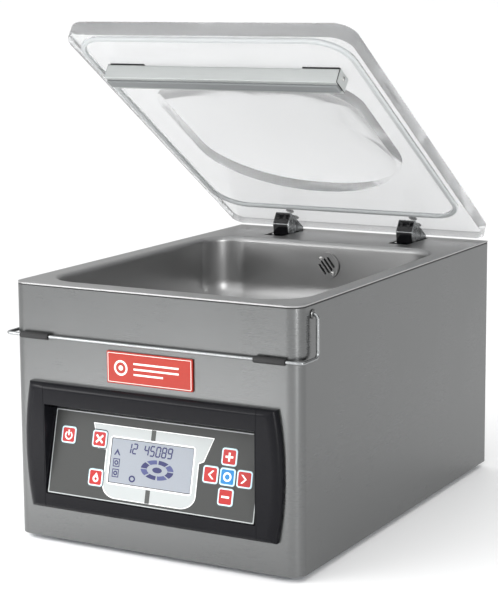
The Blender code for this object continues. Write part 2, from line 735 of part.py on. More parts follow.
def make_lift_spring(name, sign):
    """A torsion spring round the shaft, its two legs lying forwards under the deck."""
    wire_radius = 0.00125
    coil = SHAFT_RADIUS + 0.0035
    turns, per_turn, pitch = 4, 10, 0.0034
    start_x = sign * 0.030
    points = [(start_x, -0.030, coil)]
    for i in range(turns * per_turn + 1):
        angle = 2 * math.pi * i / per_turn
        points.append((start_x + sign * pitch * i / per_turn,
                       coil * math.sin(angle), coil * math.cos(angle)))
    points.append((start_x + sign * pitch * turns, -0.030, coil))
    wire(name, "zinc_steel", points, wire_radius, (0, HINGE_Y, HINGE_Z))


# ---------------------------------------------------------------- bail
def make_bail():
    """The wire bail that swings over the closed lid, pivoted in the casing's sides."""
    pivot = empty("bail_pivot", (0, BAIL_PIVOT_Y, BAIL_PIVOT_Z))
    side_x = HALF_WIDTH + BAIL_SIDE_STANDOFF
    front_y = FRONT - BAIL_FRONT_STANDOFF - BAIL_PIVOT_Y
    inner_x = HALF_WIDTH - 0.008
    lower = -BAIL_DROP
    half = [(inner_x, 0, 0), (side_x, 0, 0), (side_x, 0, lower), (side_x, front_y, lower)]
    corners = [(-x, y, z) for x, y, z in half] + list(reversed(half))
    wire("bail_wire", "chrome", rounded_path(corners, BAIL_BEND, 4), BAIL_WIRE_RADIUS,
         parent=pivot)
    for side, sign in LEFT_RIGHT:
        length = 0.0345
        bore = BAIL_WIRE_RADIUS + GAP
        sleeve = turned(f"bail_sleeve_{side}", "black_rubber",
                        [(bore, length / 2), (SLEEVE_RADIUS - 0.0005, length / 2),
                         (SLEEVE_RADIUS, length / 2 - 0.0005),
                         (SLEEVE_RADIUS, -length / 2 + 0.0005),
                         (SLEEVE_RADIUS - 0.0005, -length / 2), (bore, -length / 2)],
                        (sign * 0.1355, front_y, lower), ALONG_X, steps=16, closed=True)
        sleeve.parent = pivot
        outside = 0.0016
        turned(f"bail_bush_{side}", "dark_plastic",
               [(bore, outside), (0.0044, outside), (0.0050, outside - 0.0006),
                (0.0050, GAP), (0.0037, GAP), (0.0037, -0.0045), (bore, -0.0045)],
               (sign * HALF_WIDTH, BAIL_PIVOT_Y, BAIL_PIVOT_Z), (0, sign * QUARTER, 0),
               steps=20, closed=True)


# ---------------------------------------------------------------- control panel
def make_control_panel():
    low = FLOOR + PANEL_BOTTOM_ABOVE_FLOOR
    high = FLOOR + PANEL_TOP_ABOVE_FLOOR
    window_low = FLOOR + WINDOW_BOTTOM_ABOVE_FLOOR
    window_high = FLOOR + WINDOW_TOP_ABOVE_FLOOR
    make_bezel(low, high, window_low, window_high)
    for side, sign in LEFT_RIGHT:
        make_bezel_end(side, sign, low, high)
    make_keypad(window_low, window_high)


def make_bezel(low, high, window_low, window_high):
    """The frame between the two end mouldings; its sleeve passes into the casing."""
    face = FRONT - PANEL_PROUD
    back = FRONT - GAP
    round_edge = 0.007
    section = [(back, high), (back, low)]
    section += arc((face + round_edge, low + round_edge), round_edge, round_edge,
                   -QUARTER, -math.pi, 4)
    section += arc((face + round_edge, high - round_edge), round_edge, round_edge,
                   math.pi, QUARTER, 4)
    bezel = plate("bezel_centre", "dark_plastic", [section], 2 * (PANEL_SEAM_X - GAP / 2),
                  (0, 0, 0), SIDE_VIEW)
    wall = 0.0022
    join(bezel, box("bezel_sleeve", None,
                    (-WINDOW_HALF_WIDTH - wall, FRONT - 0.004, window_low - wall),
                    (WINDOW_HALF_WIDTH + wall, FRONT + 0.0145, window_high + wall)))
    cut(bezel, box("bezel_window", None, (-WINDOW_HALF_WIDTH, face - 0.01, window_low),
                   (WINDOW_HALF_WIDTH, FRONT + 0.03, window_high)))


def make_bezel_end(side, sign, low, high):
    """A moulding with a gently bowed outer side."""
    middle = (low + high) / 2
    half_height = (high - low) / 2
    bow = PANEL_BULGE_X - PANEL_CORNER_X
    radius = (half_height ** 2 + bow ** 2) / (2 * bow)
    reach = math.asin(half_height / radius)
    edge = arc((PANEL_BULGE_X - radius, middle), radius, radius, -reach, reach, 10)
    seam = PANEL_SEAM_X + GAP / 2
    loop = [(seam, high), (seam, low)] + edge
    if sign < 0:
        loop = [(-x, z) for x, z in reversed(loop)]
    depth = PANEL_PROUD - GAP
    end = plate(f"bezel_end_{side}", "dark_plastic", [loop], depth,
                (0, FRONT - GAP - depth / 2, 0), FRONT_VIEW)
    bevel(end, 0.0030, 3)


def make_keypad(window_low, window_high):
    """The tilted keypad film on its backing, the keys, the display and the board."""
    middle_z = (window_low + window_high) / 2
    middle_y = FRONT + 0.0018
    frame = empty("keypad_frame", (0, middle_y, middle_z), (-KEYPAD_TILT, 0, 0))
    width = 2 * (WINDOW_HALF_WIDTH - GAP)
    length = (window_high - window_low - 2 * GAP - KEYPAD_SHEET * math.sin(KEYPAD_TILT)) \
        / math.cos(KEYPAD_TILT)
    loops = [rounded_rectangle((0, 0), width, length, 0.0010, 1)]
    loops += [rounded_rectangle(place, KEY_HOLE, KEY_HOLE, KEY_CORNER + GAP)
              for place in KEY_PLACES.values()]
    loops.append(rounded_rectangle(DISPLAY_CENTRE, DISPLAY_WIDTH + 2 * GAP,
                                   DISPLAY_HEIGHT + 2 * GAP, 0.0010, 1))
    plate("membrane_panel", "keypad_film", loops, KEYPAD_SHEET, (0, 0, 0), FRONT_VIEW, frame)
    across, up = DISPLAY_CENTRE
    glass = 0.0015
    plate("display_glass", "display_glass",
          [rounded_rectangle((0, 0), DISPLAY_WIDTH, DISPLAY_HEIGHT, 0.0010, 1)], glass,
          (across, -KEYPAD_SHEET / 2 + glass / 2, up), FRONT_VIEW, frame)
    behind = KEYPAD_SHEET / 2 + GAP
    module = 0.0030
    box("display_module", "dark_plastic",
        (across - 0.0520, behind, up - 0.0260), (across + 0.0520, behind + module, up + 0.0260),
        frame)
    board = behind + module + GAP
    box("control_board", "green_board", (-0.1150, board, -0.0390), (0.1150, board + 0.0016, 0.0370),
        frame)
    for name, (x, s) in KEY_PLACES.items():
        look = "key_blue" if name == "key_select" else "key_red"
        key = plate(name, look, [rounded_rectangle((0, 0), KEY_SIZE, KEY_SIZE, KEY_CORNER)],
                    KEYPAD_SHEET + KEY_PROUD, (x, -KEY_PROUD / 2, s), FRONT_VIEW, frame)
        bevel(key, 0.0003, 1)


def make_badge():
    thickness = 0.002
    middle = FLOOR + 0.1878
    badge = plate("name_badge", "badge_red",
                  [rounded_rectangle((0, 0), 0.0994, 0.0328, 0.0010, 2)], thickness,
                  (0, FRONT - GAP - thickness / 2, middle), FRONT_VIEW)
    bevel(badge, 0.0004, 1)


# ---------------------------------------------------------------- inside the casing
def make_machinery():
    """The vacuum pump with its motor and fan, the valve, hose and sealing transformer."""
    shelf = FLOOR + 0.0015 + GAP
    pump_end = -0.0300
    pump = box("vacuum_pump", "cast_housing", (-0.1350, 0.0500, shelf), (pump_end, 0.1900, 0.1350))
    bevel(pump, 0.008)
    shaft_y, shaft_z = 0.1200, 0.0700
    motor_length = 0.120
    motor_middle = pump_end + GAP + motor_length / 2
    rod("pump_motor", "cast_housing", 0.0560, motor_length, (motor_middle, shaft_y, shaft_z),
        ALONG_X, segments=32)
    make_motor_fan(motor_middle + motor_length / 2 + GAP, shaft_y, shaft_z)
    reach = 0.020
    valve = box("solenoid_valve", "aluminium", (-reach, VALVE_Y - reach, VALVE_TOP - 0.035),
                (reach, VALVE_Y + reach, VALVE_TOP))
    bevel(valve, 0.002)
    make_hose()
    core = box("seal_transformer", "zinc_steel", (-0.1200, -0.1500, shelf),
               (-0.0350, -0.0850, shelf + 0.0700))
    join(core, box("transformer_winding", None, (-0.1080, -0.1650, shelf + 0.0120),
                   (-0.0470, -0.0700, shelf + 0.0580)))


def make_motor_fan(start, y, z):
    """A hub and six flat blades on the motor's shaft."""
    width = 0.014
    fan = rod("motor_fan", "dark_plastic", 0.0120, width, (start + width / 2, y, z), ALONG_X)
    for i in range(3):
        bm = bmesh.new()
        bmesh.ops.create_cube(bm, size=1)
        bmesh.ops.scale(bm, vec=(width - 0.002, 0.0030, 0.100), verts=bm.verts)
        join(fan, add(f"fan_blade_pair_{i}", mesh_from("fan_blade_pair", bm), None,
                      (start + width / 2, y, z), (math.pi * i / 3, 0, 0)))


def make_hose():
    """From the suction port down to the solenoid valve."""
    start_y = PORT_FACE + DECK_SHEET + GAP
    corners = [(GRILLE_X, start_y, GRILLE_Z), (GRILLE_X, VALVE_Y, GRILLE_Z),
               (GRILLE_X, VALVE_Y, VALVE_TOP + GAP)]
    wire("vacuum_hose", "black_rubber", rounded_path(corners, 0.016, 5), 0.0085)


make_casing()
make_base()
make_rear_cover()
make_deck()
make_suction_grille()
make_seal_bar()
make_lid()
make_hinge_shaft()
make_bail()
make_control_panel()
make_badge()
make_machinery()
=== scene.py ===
"""The looks of a table-top chamber vacuum packing machine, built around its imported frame.

Metres, +Z up, +X the operator's right, -Y the front with the control panel.
"""
import json
from math import asin, atan2, cos, pi, radians, sin, tan

import bmesh
import bpy
from mathutils import Matrix, Vector


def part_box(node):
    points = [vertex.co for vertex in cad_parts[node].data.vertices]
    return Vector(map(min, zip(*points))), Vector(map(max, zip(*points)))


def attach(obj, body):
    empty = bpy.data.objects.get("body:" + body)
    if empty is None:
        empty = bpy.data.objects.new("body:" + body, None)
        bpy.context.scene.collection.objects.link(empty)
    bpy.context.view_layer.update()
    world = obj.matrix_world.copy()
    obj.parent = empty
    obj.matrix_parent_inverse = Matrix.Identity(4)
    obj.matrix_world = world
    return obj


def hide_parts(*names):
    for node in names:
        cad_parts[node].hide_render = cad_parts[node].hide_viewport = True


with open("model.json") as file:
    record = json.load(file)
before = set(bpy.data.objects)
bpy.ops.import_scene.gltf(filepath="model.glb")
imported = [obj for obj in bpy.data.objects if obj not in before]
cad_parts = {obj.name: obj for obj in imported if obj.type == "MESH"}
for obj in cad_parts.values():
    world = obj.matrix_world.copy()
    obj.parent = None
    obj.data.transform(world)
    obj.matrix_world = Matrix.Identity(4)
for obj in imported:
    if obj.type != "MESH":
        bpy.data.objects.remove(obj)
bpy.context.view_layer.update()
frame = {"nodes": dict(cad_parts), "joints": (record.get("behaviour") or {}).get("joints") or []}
JOINTS = {joint["name"]: joint for joint in frame["joints"]}

# ---- driving values
GAP = 0.0003
QUARTER = pi / 2
FULL = 2 * pi
LEFT_RIGHT = (("left", -1), ("right", 1))
CORNERS = ((-1, -1), (1, -1), (1, 1), (-1, 1))

CASING_CORNER = 0.015
CASING_SHEET = 0.0012
DECK_SHEET = 0.0015
RIM_RADIUS = 0.006
CHAMBER_HALF_WIDTH = 0.15
CHAMBER_FRONT = -0.219
CHAMBER_BACK = 0.151
CHAMBER_CORNER = 0.046
CHAMBER_DEPTH = 0.085
CHAMBER_FILLET = 0.034
SLOT_HALF_WIDTH = 0.0126
SLOT_FRONT = 0.1705
SLOT_BACK = 0.233
PORT_RADIUS = 0.01

LID_WIDTH = 0.3341
LID_LENGTH = 0.4473
LID_THICKNESS = 0.0163
LID_FACE = 0.0313                 # underside above the hinge axis, lid closed
LID_REAR = -0.0093                # in the closed lid's own frame
DOME_RISE = 0.03
DOME_WALL = 0.009
DOME_HALF_WIDTH = 0.122
GASKET_HALF_WIDTH = 0.157

BAIL_DROP = 0.0421
BAIL_WIRE_RADIUS = 0.0018

PANEL_SEAM_X = 0.123
PANEL_ROUND = 0.007
RECESS_RISE = 0.0079              # the recess is this much higher at the bezel's face

# ---- places from the frame
CASING_LOW, CASING_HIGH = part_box("casing_shell")
HALF_WIDTH, FRONT, BACK = CASING_HIGH.x, CASING_LOW.y, CASING_HIGH.y
FLOOR, CASING_TOP = CASING_LOW.z, CASING_HIGH.z
DECK_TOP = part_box("chamber_deck")[1].z
HINGE = Vector(JOINTS["lid_hinge"]["pos_m"])
OPEN_ANGLE = radians(max(JOINTS["lid_hinge"]["range_deg"]))
BAIL_PIVOT = Vector(JOINTS["bail_swing"]["pos_m"])
PRESS = Vector(JOINTS["key_power_press"]["axis"])
KEYPAD_TILT = atan2(-PRESS.z, PRESS.y)
LID_FRONT = LID_REAR - LID_LENGTH


def extent(node):
    """A node's low corner, high corner and middle."""
    low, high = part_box(node)
    return low, high, (low + high) / 2


def middle_of(node):
    return extent(node)[2]


def turn(x=0.0, y=0.0, z=0.0):
    return Matrix.Rotation(z, 4, "Z") @ Matrix.Rotation(y, 4, "Y") @ Matrix.Rotation(x, 4, "X")


def move(place):
    return Matrix.Translation(Vector(place))


FRONT_VIEW = turn(x=QUARTER)                     # outline's x, y, z become world X, Z, -Y
REAR_VIEW = turn(z=pi) @ FRONT_VIEW
SIDE_VIEW = turn(x=QUARTER, z=QUARTER)           # outline's x, y, z become world Y, Z, X
LID = move(HINGE) @ turn(x=-OPEN_ANGLE)
KEYPAD = move(middle_of("membrane_panel")) @ turn(x=-KEYPAD_TILT) @ FRONT_VIEW
FILM_FACE = 0.00125                              # above the film's middle
PRINT_GAP = 0.00002                              # between a face and the print on it
CAMERA_PLACE = move((0.9113, -1.6899, 0.5697))
FLOOR_RADIUS = 500


# ---- finishes
def srgb(red, green, blue):
    """A colour given as display values of 0 to 255, made linear."""
    values = [v / 255 for v in (red, green, blue)]
    return tuple(v / 12.92 if v <= 0.04045 else ((v + 0.055) / 1.055) ** 2.4 for v in values)


LOOKS = {}


def shader_node(tree, kind, inputs, **settings):
    """A new node; each input is a value to set or another node's output to link."""
    fresh = tree.nodes.new(kind)
    for key, value in settings.items():
        setattr(fresh, key, value)
    for key, value in inputs.items():
        if isinstance(value, bpy.types.NodeSocket):
            tree.links.new(value, fresh.inputs[key])
        else:
            fresh.inputs[key].default_value = value
    return fresh


def finish(name, slot, colour, roughness, size, tint, metallic=0.0, grain=(1, 1, 1),
           patch=0.05, spread=0.05, height=0.00001, **sockets):
    """A procedural finish: a fine grain and broad patches vary colour, roughness and height."""
    made = bpy.data.materials.new(name)
    made.use_nodes = True
    tree = made.node_tree
    shader = tree.nodes["Principled BSDF"]

    def noise(vector, scale, detail):
        return shader_node(tree, "ShaderNodeTexNoise", {"Vector": vector, "Scale": scale,
                                                        "Detail": detail}).outputs["Fac"]

    def spread_of(factor, low, high):
        return shader_node(tree, "ShaderNodeMapRange", {
            "Value": factor, "From Min": 0.3, "From Max": 0.7, "To Min": low, "To Max": high,
        }).outputs["Result"]

    def mix(factor, first, second, blend="MIX"):
        return shader_node(tree, "ShaderNodeMix", {"Factor": factor, 6: first, 7: second},
                           data_type="RGBA", blend_type=blend).outputs[2]

    place = shader_node(tree, "ShaderNodeTexCoord", {}).outputs["Object"]
    stretched = shader_node(tree, "ShaderNodeMapping", {
        "Vector": place, "Scale": [1 / (size * stretch) for stretch in grain]}).outputs["Vector"]
    fine = noise(stretched, 1.0, 4.0)
    broad = noise(place, 14.0, 3.0)

    darker = (*(v * (1 - tint) for v in colour), 1)
    lighter = (*(min(1.0, v * (1 + tint)) for v in colour), 1)
    grained = mix(spread_of(fine, 0.0, 1.0), darker, lighter)
    shade = mix(spread_of(broad, 0.0, 1.0), (1 - patch, 1 - patch, 1 - patch, 1), (1, 1, 1, 1))
    rough = shader_node(tree, "ShaderNodeMath", {
        0: spread_of(fine, roughness - spread / 2, roughness + spread / 2),
        1: spread_of(broad, -spread / 2, spread / 2)}, operation="ADD")
    bump = shader_node(tree, "ShaderNodeBump", {"Distance": height, "Height": fine})
    tree.links.new(mix(1.0, grained, shade, "MULTIPLY"), shader.inputs["Base Color"])
    tree.links.new(rough.outputs[0], shader.inputs["Roughness"])
    tree.links.new(bump.outputs["Normal"], shader.inputs["Normal"])
    shader.inputs["Metallic"].default_value = metallic
    for key, value in sockets.items():
        shader.inputs[key.replace("_", " ")].default_value = value
    LOOKS[name] = (made, slot or name)


# Each finish's name, its slot where that is named otherwise, its colour as display values of
# 0 to 255, its roughness, the size of its grain, how much the grain tints it, and the rest.
FINISHES = (
    ("brushed_steel", "", (112, 113, 113), 0.29, 0.0004, 0.025,
     dict(metallic=1.0, grain=(60, 60, 1), patch=0.02, spread=0.04, height=0.000001)),
    ("chamber_steel", "", (160, 160, 160), 0.33, 0.0006, 0.03,
     dict(metallic=1.0, patch=0.03, spread=0.05, height=0.0000004)),
    ("zinc_steel", "", (176, 180, 186), 0.38, 0.004, 0.1, dict(metallic=1.0, patch=0.12, spread=0.12)),
    ("screw_steel", "chrome", (205, 205, 203), 0.22, 0.001, 0.06, dict(metallic=1.0)),
    ("bail_steel", "chrome", (150, 152, 153), 0.2, 0.01, 0.03, dict(metallic=1.0, spread=0.05)),
    ("hinge_steel", "chrome", (138, 140, 141), 0.26, 0.006, 0.04, dict(metallic=1.0, spread=0.06)),
    ("hinge_black", "chrome", (20, 20, 22), 0.12, 0.003, 0.1, dict(spread=0.06)),
    ("aluminium", "", (205, 208, 207), 0.36, 0.0005, 0.05,
     dict(metallic=1.0, grain=(60, 1, 1), spread=0.08, height=0.000005)),
    ("bar_cover", "aluminium", (184, 187, 186), 0.42, 0.0006, 0.03,
     dict(metallic=0.35, grain=(60, 1, 1), spread=0.06, height=0.000004)),
    ("brass", "aluminium", (200, 165, 90), 0.3, 0.001, 0.06, dict(metallic=1.0)),
    ("copper", "cast_housing", (190, 105, 60), 0.32, 0.0008, 0.2,
     dict(metallic=0.9, grain=(1, 1, 20), height=0.00003)),
    ("cast_housing", "", (92, 100, 108), 0.55, 0.0012, 0.15,
     dict(metallic=0.4, patch=0.15, spread=0.12, height=0.00006)),
    ("grey_silicone", "", (194, 197, 198), 0.55, 0.0008, 0.05, {}),
    ("strip_silicone", "grey_silicone", (128, 131, 132), 0.6, 0.0008, 0.06, dict(height=0.00002)),
    ("black_rubber", "", (30, 30, 31), 0.7, 0.0006, 0.25, dict(patch=0.2, spread=0.14, height=0.00003)),
    ("dark_plastic", "", (15, 15, 19), 0.27, 0.0005, 0.1,
     dict(patch=0.08, spread=0.08, height=0.000012, Specular_IOR_Level=0.14)),
    ("black_plastic", "dark_plastic", (24, 24, 26), 0.38, 0.0005, 0.15, dict(spread=0.08)),
    ("keypad_film", "", (56, 57, 56), 0.46, 0.0003, 0.06,
     dict(patch=0.04, spread=0.08, height=0.000006, Specular_IOR_Level=0.3)),
    ("display_glass", "", (142, 147, 154), 0.16, 0.0008, 0.02,
     dict(patch=0.03, spread=0.06, height=0.000002)),
    ("lcd_ink", "display_glass", (24, 28, 82), 0.35, 0.0004, 0.12, {}),
    ("lcd_pale", "display_glass", (60, 66, 112), 0.35, 0.0004, 0.08, {}),
    ("print_grey", "keypad_film", (166, 170, 170), 0.4, 0.0004, 0.03, {}),
    ("print_white", "keypad_film", (240, 241, 240), 0.4, 0.0004, 0.02, {}),
    ("print_dark", "keypad_film", (58, 60, 58), 0.45, 0.0004, 0.08, {}),
    ("key_border", "keypad_film", (196, 226, 238), 0.34, 0.0004, 0.03, {}),
    ("key_red", "", (164, 16, 14), 0.34, 0.0005, 0.05, {}),
    ("key_blue", "", (6, 114, 174), 0.32, 0.0005, 0.05, {}),
    ("badge_red", "", (158, 30, 4), 0.38, 0.0006, 0.06,
     dict(grain=(20, 1, 1), patch=0.06, spread=0.08)),
    ("badge_print", "badge_red", (244, 238, 232), 0.4, 0.0006, 0.03, {}),
    ("green_board", "", (26, 96, 52), 0.42, 0.0015, 0.2, {}),
    ("brown_band", "", (150, 112, 72), 0.46, 0.0007, 0.2, dict(patch=0.12, spread=0.1, height=0.00004)),
)


def make_finishes():
    for name, slot, colour, roughness, size, tint, others in FINISHES:
        finish(name, slot, srgb(*colour), roughness, size, tint, **others)
    finish("acrylic", "", (0.9, 0.905, 0.91), 0.09, 0.02, 0.002,
           grain=(4, 1, 1), patch=0.01, spread=0.04, height=0.000001, Transmission_Weight=0.86, IOR=1.18)


# ---- meshes
def mesh_from(bm):
    mesh = bpy.data.meshes.new("mesh")
    bm.to_mesh(mesh)
    bm.free()
    return mesh


def moved(mesh, matrix):
    mesh.transform(matrix)
    return mesh


def block(low, high):
    bm = bmesh.new()
    bmesh.ops.create_cube(bm, size=1)
    size = Vector(high) - Vector(low)
    bmesh.ops.scale(bm, vec=size, verts=bm.verts)
    bmesh.ops.translate(bm, vec=(Vector(low) + Vector(high)) / 2, verts=bm.verts)
    return mesh_from(bm)


def rod(radius, length, place=Matrix(), segments=48):
    """A cylinder about its Z axis, standing on its origin."""
    bm = bmesh.new()
    bmesh.ops.create_cone(bm, cap_ends=True, segments=segments, radius1=radius, radius2=radius,
                          depth=length, matrix=move((0, 0, length / 2)))
    return moved(mesh_from(bm), place)


def turned(profile, place=Matrix(), steps=56, closed=False):
    """A profile of (radius, height) turned about its Z axis."""
    bm = bmesh.new()
    turns = [(cos(FULL * i / steps), sin(FULL * i / steps)) for i in range(steps)]
    rows = [[bm.verts.new((radius * x, radius * y, height)) for x, y in turns] if radius
            else [bm.verts.new((0, 0, height))] * steps for radius, height in profile]
    for lower, upper in list(zip(rows, rows[1:])) + [(rows[-1], rows[0])] * closed:
        for i in range(steps):
            j = (i + 1) % steps
            bm.faces.new(dict.fromkeys((lower[i], lower[j], upper[j], upper[i])))
    bmesh.ops.recalc_face_normals(bm, faces=bm.faces)
    return moved(mesh_from(bm), place)


def arc(centre, radius_x, radius_y, start, end, steps):
    angles = [start + (end - start) * i / steps for i in range(steps + 1)]
    return [(centre[0] + radius_x * cos(a), centre[1] + radius_y * sin(a))
            for a in angles]


def oval(centre, radius_x, radius_y, steps):
    return arc(centre, radius_x, radius_y, 0, FULL * (steps - 1) / steps, steps - 1)


def circle(centre, radius, steps=48):
    return oval(centre, radius, radius, steps)


def outline(half_x, low_y, high_y, low_corner, high_corner, steps=16):
    """A four-cornered outline; each corner radius is a number or an (x, y) pair."""
    low = low_corner if isinstance(low_corner, tuple) else (low_corner, low_corner)
    high = high_corner if isinstance(high_corner, tuple) else (high_corner, high_corner)
    corners = (
        ((half_x - low[0], low_y + low[1]), low, -QUARTER),
        ((half_x - high[0], high_y - high[1]), high, 0),
        ((high[0] - half_x, high_y - high[1]), high, QUARTER),
        ((low[0] - half_x, low_y + low[1]), low, pi),
    )
    points = []
    for centre, radii, start in corners:
        points += arc(centre, radii[0], radii[1], start, start + QUARTER, steps)
    return points


def rectangle(centre, width, height, corner, steps=6):
    loop = outline(width / 2, -height / 2, height / 2, corner, corner, steps)
    return [(x + centre[0], y + centre[1]) for x, y in loop]


def at_height(loop, z):
    return [(x, y, z) for x, y in loop]


def loft(rings, cap_first=True, closed=False):
    """A skin over rings of equal point counts; closed joins the last ring to the first."""
    bm = bmesh.new()
    loops = [[bm.verts.new(point) for point in ring] for ring in rings]
    for lower, upper in list(zip(loops, loops[1:])) + [(loops[-1], loops[0])] * closed:
        for i in range(len(lower)):
            j = (i + 1) % len(lower)
            bm.faces.new((lower[i], lower[j], upper[j], upper[i]))
    if cap_first and not closed:
        bm.faces.new(loops[0][::-1])
    if not closed:
        bm.faces.new(loops[-1])
    bmesh.ops.recalc_face_normals(bm, faces=bm.faces)
    return mesh_from(bm)


def stack(levels, **caps):
    """A loft over flat outlines, each given with its height."""
    return loft([at_height(loop, z) for loop, z in levels], **caps)


def evaluated(obj):
    """The object's mesh with its modifiers applied; the object is removed."""
    graph = bpy.context.evaluated_depsgraph_get()
    mesh = bpy.data.meshes.new_from_object(obj.evaluated_get(graph))
    bpy.data.objects.remove(obj, do_unlink=True)
    return mesh


def placed(data, name="maker"):
    obj = bpy.data.objects.new(name, data)
    bpy.context.scene.collection.objects.link(obj)
    return obj


def welded(mesh, reach=0.000001, flat=0.0, outward=True):
    """The mesh with its doubled points merged and, given an angle, its flat faces made whole."""
    bm = bmesh.new()
    bm.from_mesh(mesh)
    bmesh.ops.remove_doubles(bm, verts=bm.verts, dist=reach)
    if flat:
        bmesh.ops.dissolve_limit(bm, angle_limit=radians(flat), verts=bm.verts,
                                 edges=bm.edges)
    if outward:
        bmesh.ops.recalc_face_normals(bm, faces=bm.faces)
    return mesh_from(bm)


def curve_mesh(lines, cyclic, **settings):
    """The mesh of a curve object whose splines are straight lines from point to point."""
    curve = bpy.data.curves.new("curve", "CURVE")
    for key, value in settings.items():
        setattr(curve, key, value)
    for line in lines:
        spline = curve.splines.new("POLY")
        spline.points.add(len(line) - 1)
        for point, place in zip(spline.points, line):
            point.co = (*place, 1)
        spline.use_cyclic_u = cyclic
    return evaluated(placed(curve))


def plate(loops, low, high, place=Matrix()):
    """A flat outline with any holes in it, from one height to another."""
    mesh = curve_mesh([at_height(loop, 0) for loop in loops], True, dimensions="2D",
                      fill_mode="BOTH", extrude=(high - low) / 2)
    mesh = welded(mesh, flat=0.1 if len(loops) == 1 else 0)
    return moved(moved(mesh, move((0, 0, (low + high) / 2))), place)


def tube(points, radius, rings):
    return welded(curve_mesh([points], False, dimensions="3D", bevel_depth=radius,
                             bevel_resolution=rings, use_fill_caps=True))


def rounded_path(corners, radius, steps=12):
    """A polyline through the corners, each inner corner turned on an arc."""
    path = [Vector(corners[0])]
    for before, corner, after in zip(corners, corners[1:], corners[2:]):
        corner = Vector(corner)
        to_before = (Vector(before) - corner).normalized()
        to_after = (Vector(after) - corner).normalized()
        half = to_before.angle(to_after) / 2
        reach = radius / tan(half)
        centre = corner + (to_before + to_after).normalized() * (radius / sin(half))
        start = (corner + to_before * reach - centre).normalized()
        end = (corner + to_after * reach - centre).normalized()
        for i in range(steps + 1):
            path.append(centre + start.slerp(end, i / steps) * radius)
    path.append(Vector(corners[-1]))
    return path


def carved(mesh, tools, operation="DIFFERENCE"):
    """The mesh with each tool mesh cut away from it, or joined to it."""
    body = placed(mesh)
    others = [placed(tool) for tool in tools]
    for other in others:
        step = body.modifiers.new("step", "BOOLEAN")
        step.operation = operation
        step.solver = "EXACT"
        step.object = other
    result = evaluated(body)
    for other in others:
        bpy.data.objects.remove(other, do_unlink=True)
    return result


def sheet_of(mesh, thickness):
    """An open surface given its thickness on the inner side."""
    body = placed(mesh)
    step = body.modifiers.new("sheet", "SOLIDIFY")
    step.thickness = thickness
    step.offset = -1
    return evaluated(body)


def together(meshes):
    """Several closed meshes as one mesh of separate bodies."""
    bm = bmesh.new()
    for mesh in meshes:
        bm.from_mesh(mesh)
    return mesh_from(bm)


def node_mesh(node):
    """A node's own mesh, welded, its flat faces made whole again."""
    return welded(frame["nodes"][node].data, 0.000002, 0.5, outward=False)


def piece(name, mesh, look, body="machine", replaces=None, edge=0.0, segments=3, sharp=32):
    """A finished piece: bevelled where an edge is given, shaded, and riding on its body."""
    made, slot = LOOKS[look]
    mesh.materials.clear()
    mesh.materials.append(made)
    mesh.shade_smooth()
    mesh.set_sharp_from_angle(angle=radians(sharp))
    obj = placed(mesh, name)
    if edge:
        rounding = obj.modifiers.new("edges", "BEVEL")
        rounding.width = edge
        rounding.segments = segments
        rounding.limit_method = "ANGLE"
        rounding.angle_limit = radians(sharp)
        rounding.harden_normals = True
    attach(obj, body)
    if replaces:
        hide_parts(replaces)


def refined(node, look, body="machine", edge=0.0004, segments=3):
    """The node's own shape with its edges rounded."""
    piece(node + "_finished", node_mesh(node), look, body, node, edge, segments)


def screw(name, place, radius, height, look="screw_steel", body="machine", drive="cross"):
    """A domed screw head on its origin, its axis along Z, with a driving recess."""
    profile = [(0, height)] + [(radius * sin(a), height * (0.35 + 0.65 * cos(a)))
                               for a in (0.4, 0.8, 1.2)]
    profile += [(radius, height * 0.35), (radius, 0), (0, 0)]
    head = turned(profile, steps=28)
    depth = height * 0.45
    arm, width = radius * 0.62, radius * 0.13
    if drive == "hex":
        tools = [rod(radius * 0.42, height, move((0, 0, height - depth)), 6)]
    else:
        tools = [block((-arm, -width, height - depth), (arm, width, height * 2)),
                 block((-width, -arm, height - depth), (width, arm, height * 2))]
    piece(name, moved(carved(head, tools), place), look, body)


# ---- casing
def make_casing():
    path = [(HALF_WIDTH - 0.014, BACK), (HALF_WIDTH, BACK)]
    corner_x, corner_y = HALF_WIDTH - CASING_CORNER, FRONT + CASING_CORNER
    path += arc((corner_x, corner_y), CASING_CORNER, CASING_CORNER, 0, -QUARTER, 20)
    path += arc((-corner_x, corner_y), CASING_CORNER, CASING_CORNER, -QUARTER, -pi, 20)
    path += [(-HALF_WIDTH, BACK), (0.014 - HALF_WIDTH, BACK)]
    bm = bmesh.new()
    rows = [[bm.verts.new((x, y, z)) for x, y in path] for z in (FLOOR, CASING_TOP)]
    for i in range(len(path) - 1):
        bm.faces.new((rows[0][i], rows[1][i], rows[1][i + 1], rows[0][i + 1]))
    shell = sheet_of(mesh_from(bm), CASING_SHEET)
    low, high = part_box("bezel_centre")
    window = block((-PANEL_SEAM_X - 0.001, FRONT - 0.004, low.z + 0.0108),
                   (PANEL_SEAM_X + 0.001, FRONT + 0.004, high.z - 0.0233))
    holes = rod(0.004, 0.36, move((-0.18, BAIL_PIVOT.y, BAIL_PIVOT.z)) @ turn(y=QUARTER))
    piece("casing_sheet", carved(shell, [window, holes]), "brushed_steel",
          replaces="casing_shell", edge=0.00025, segments=2)


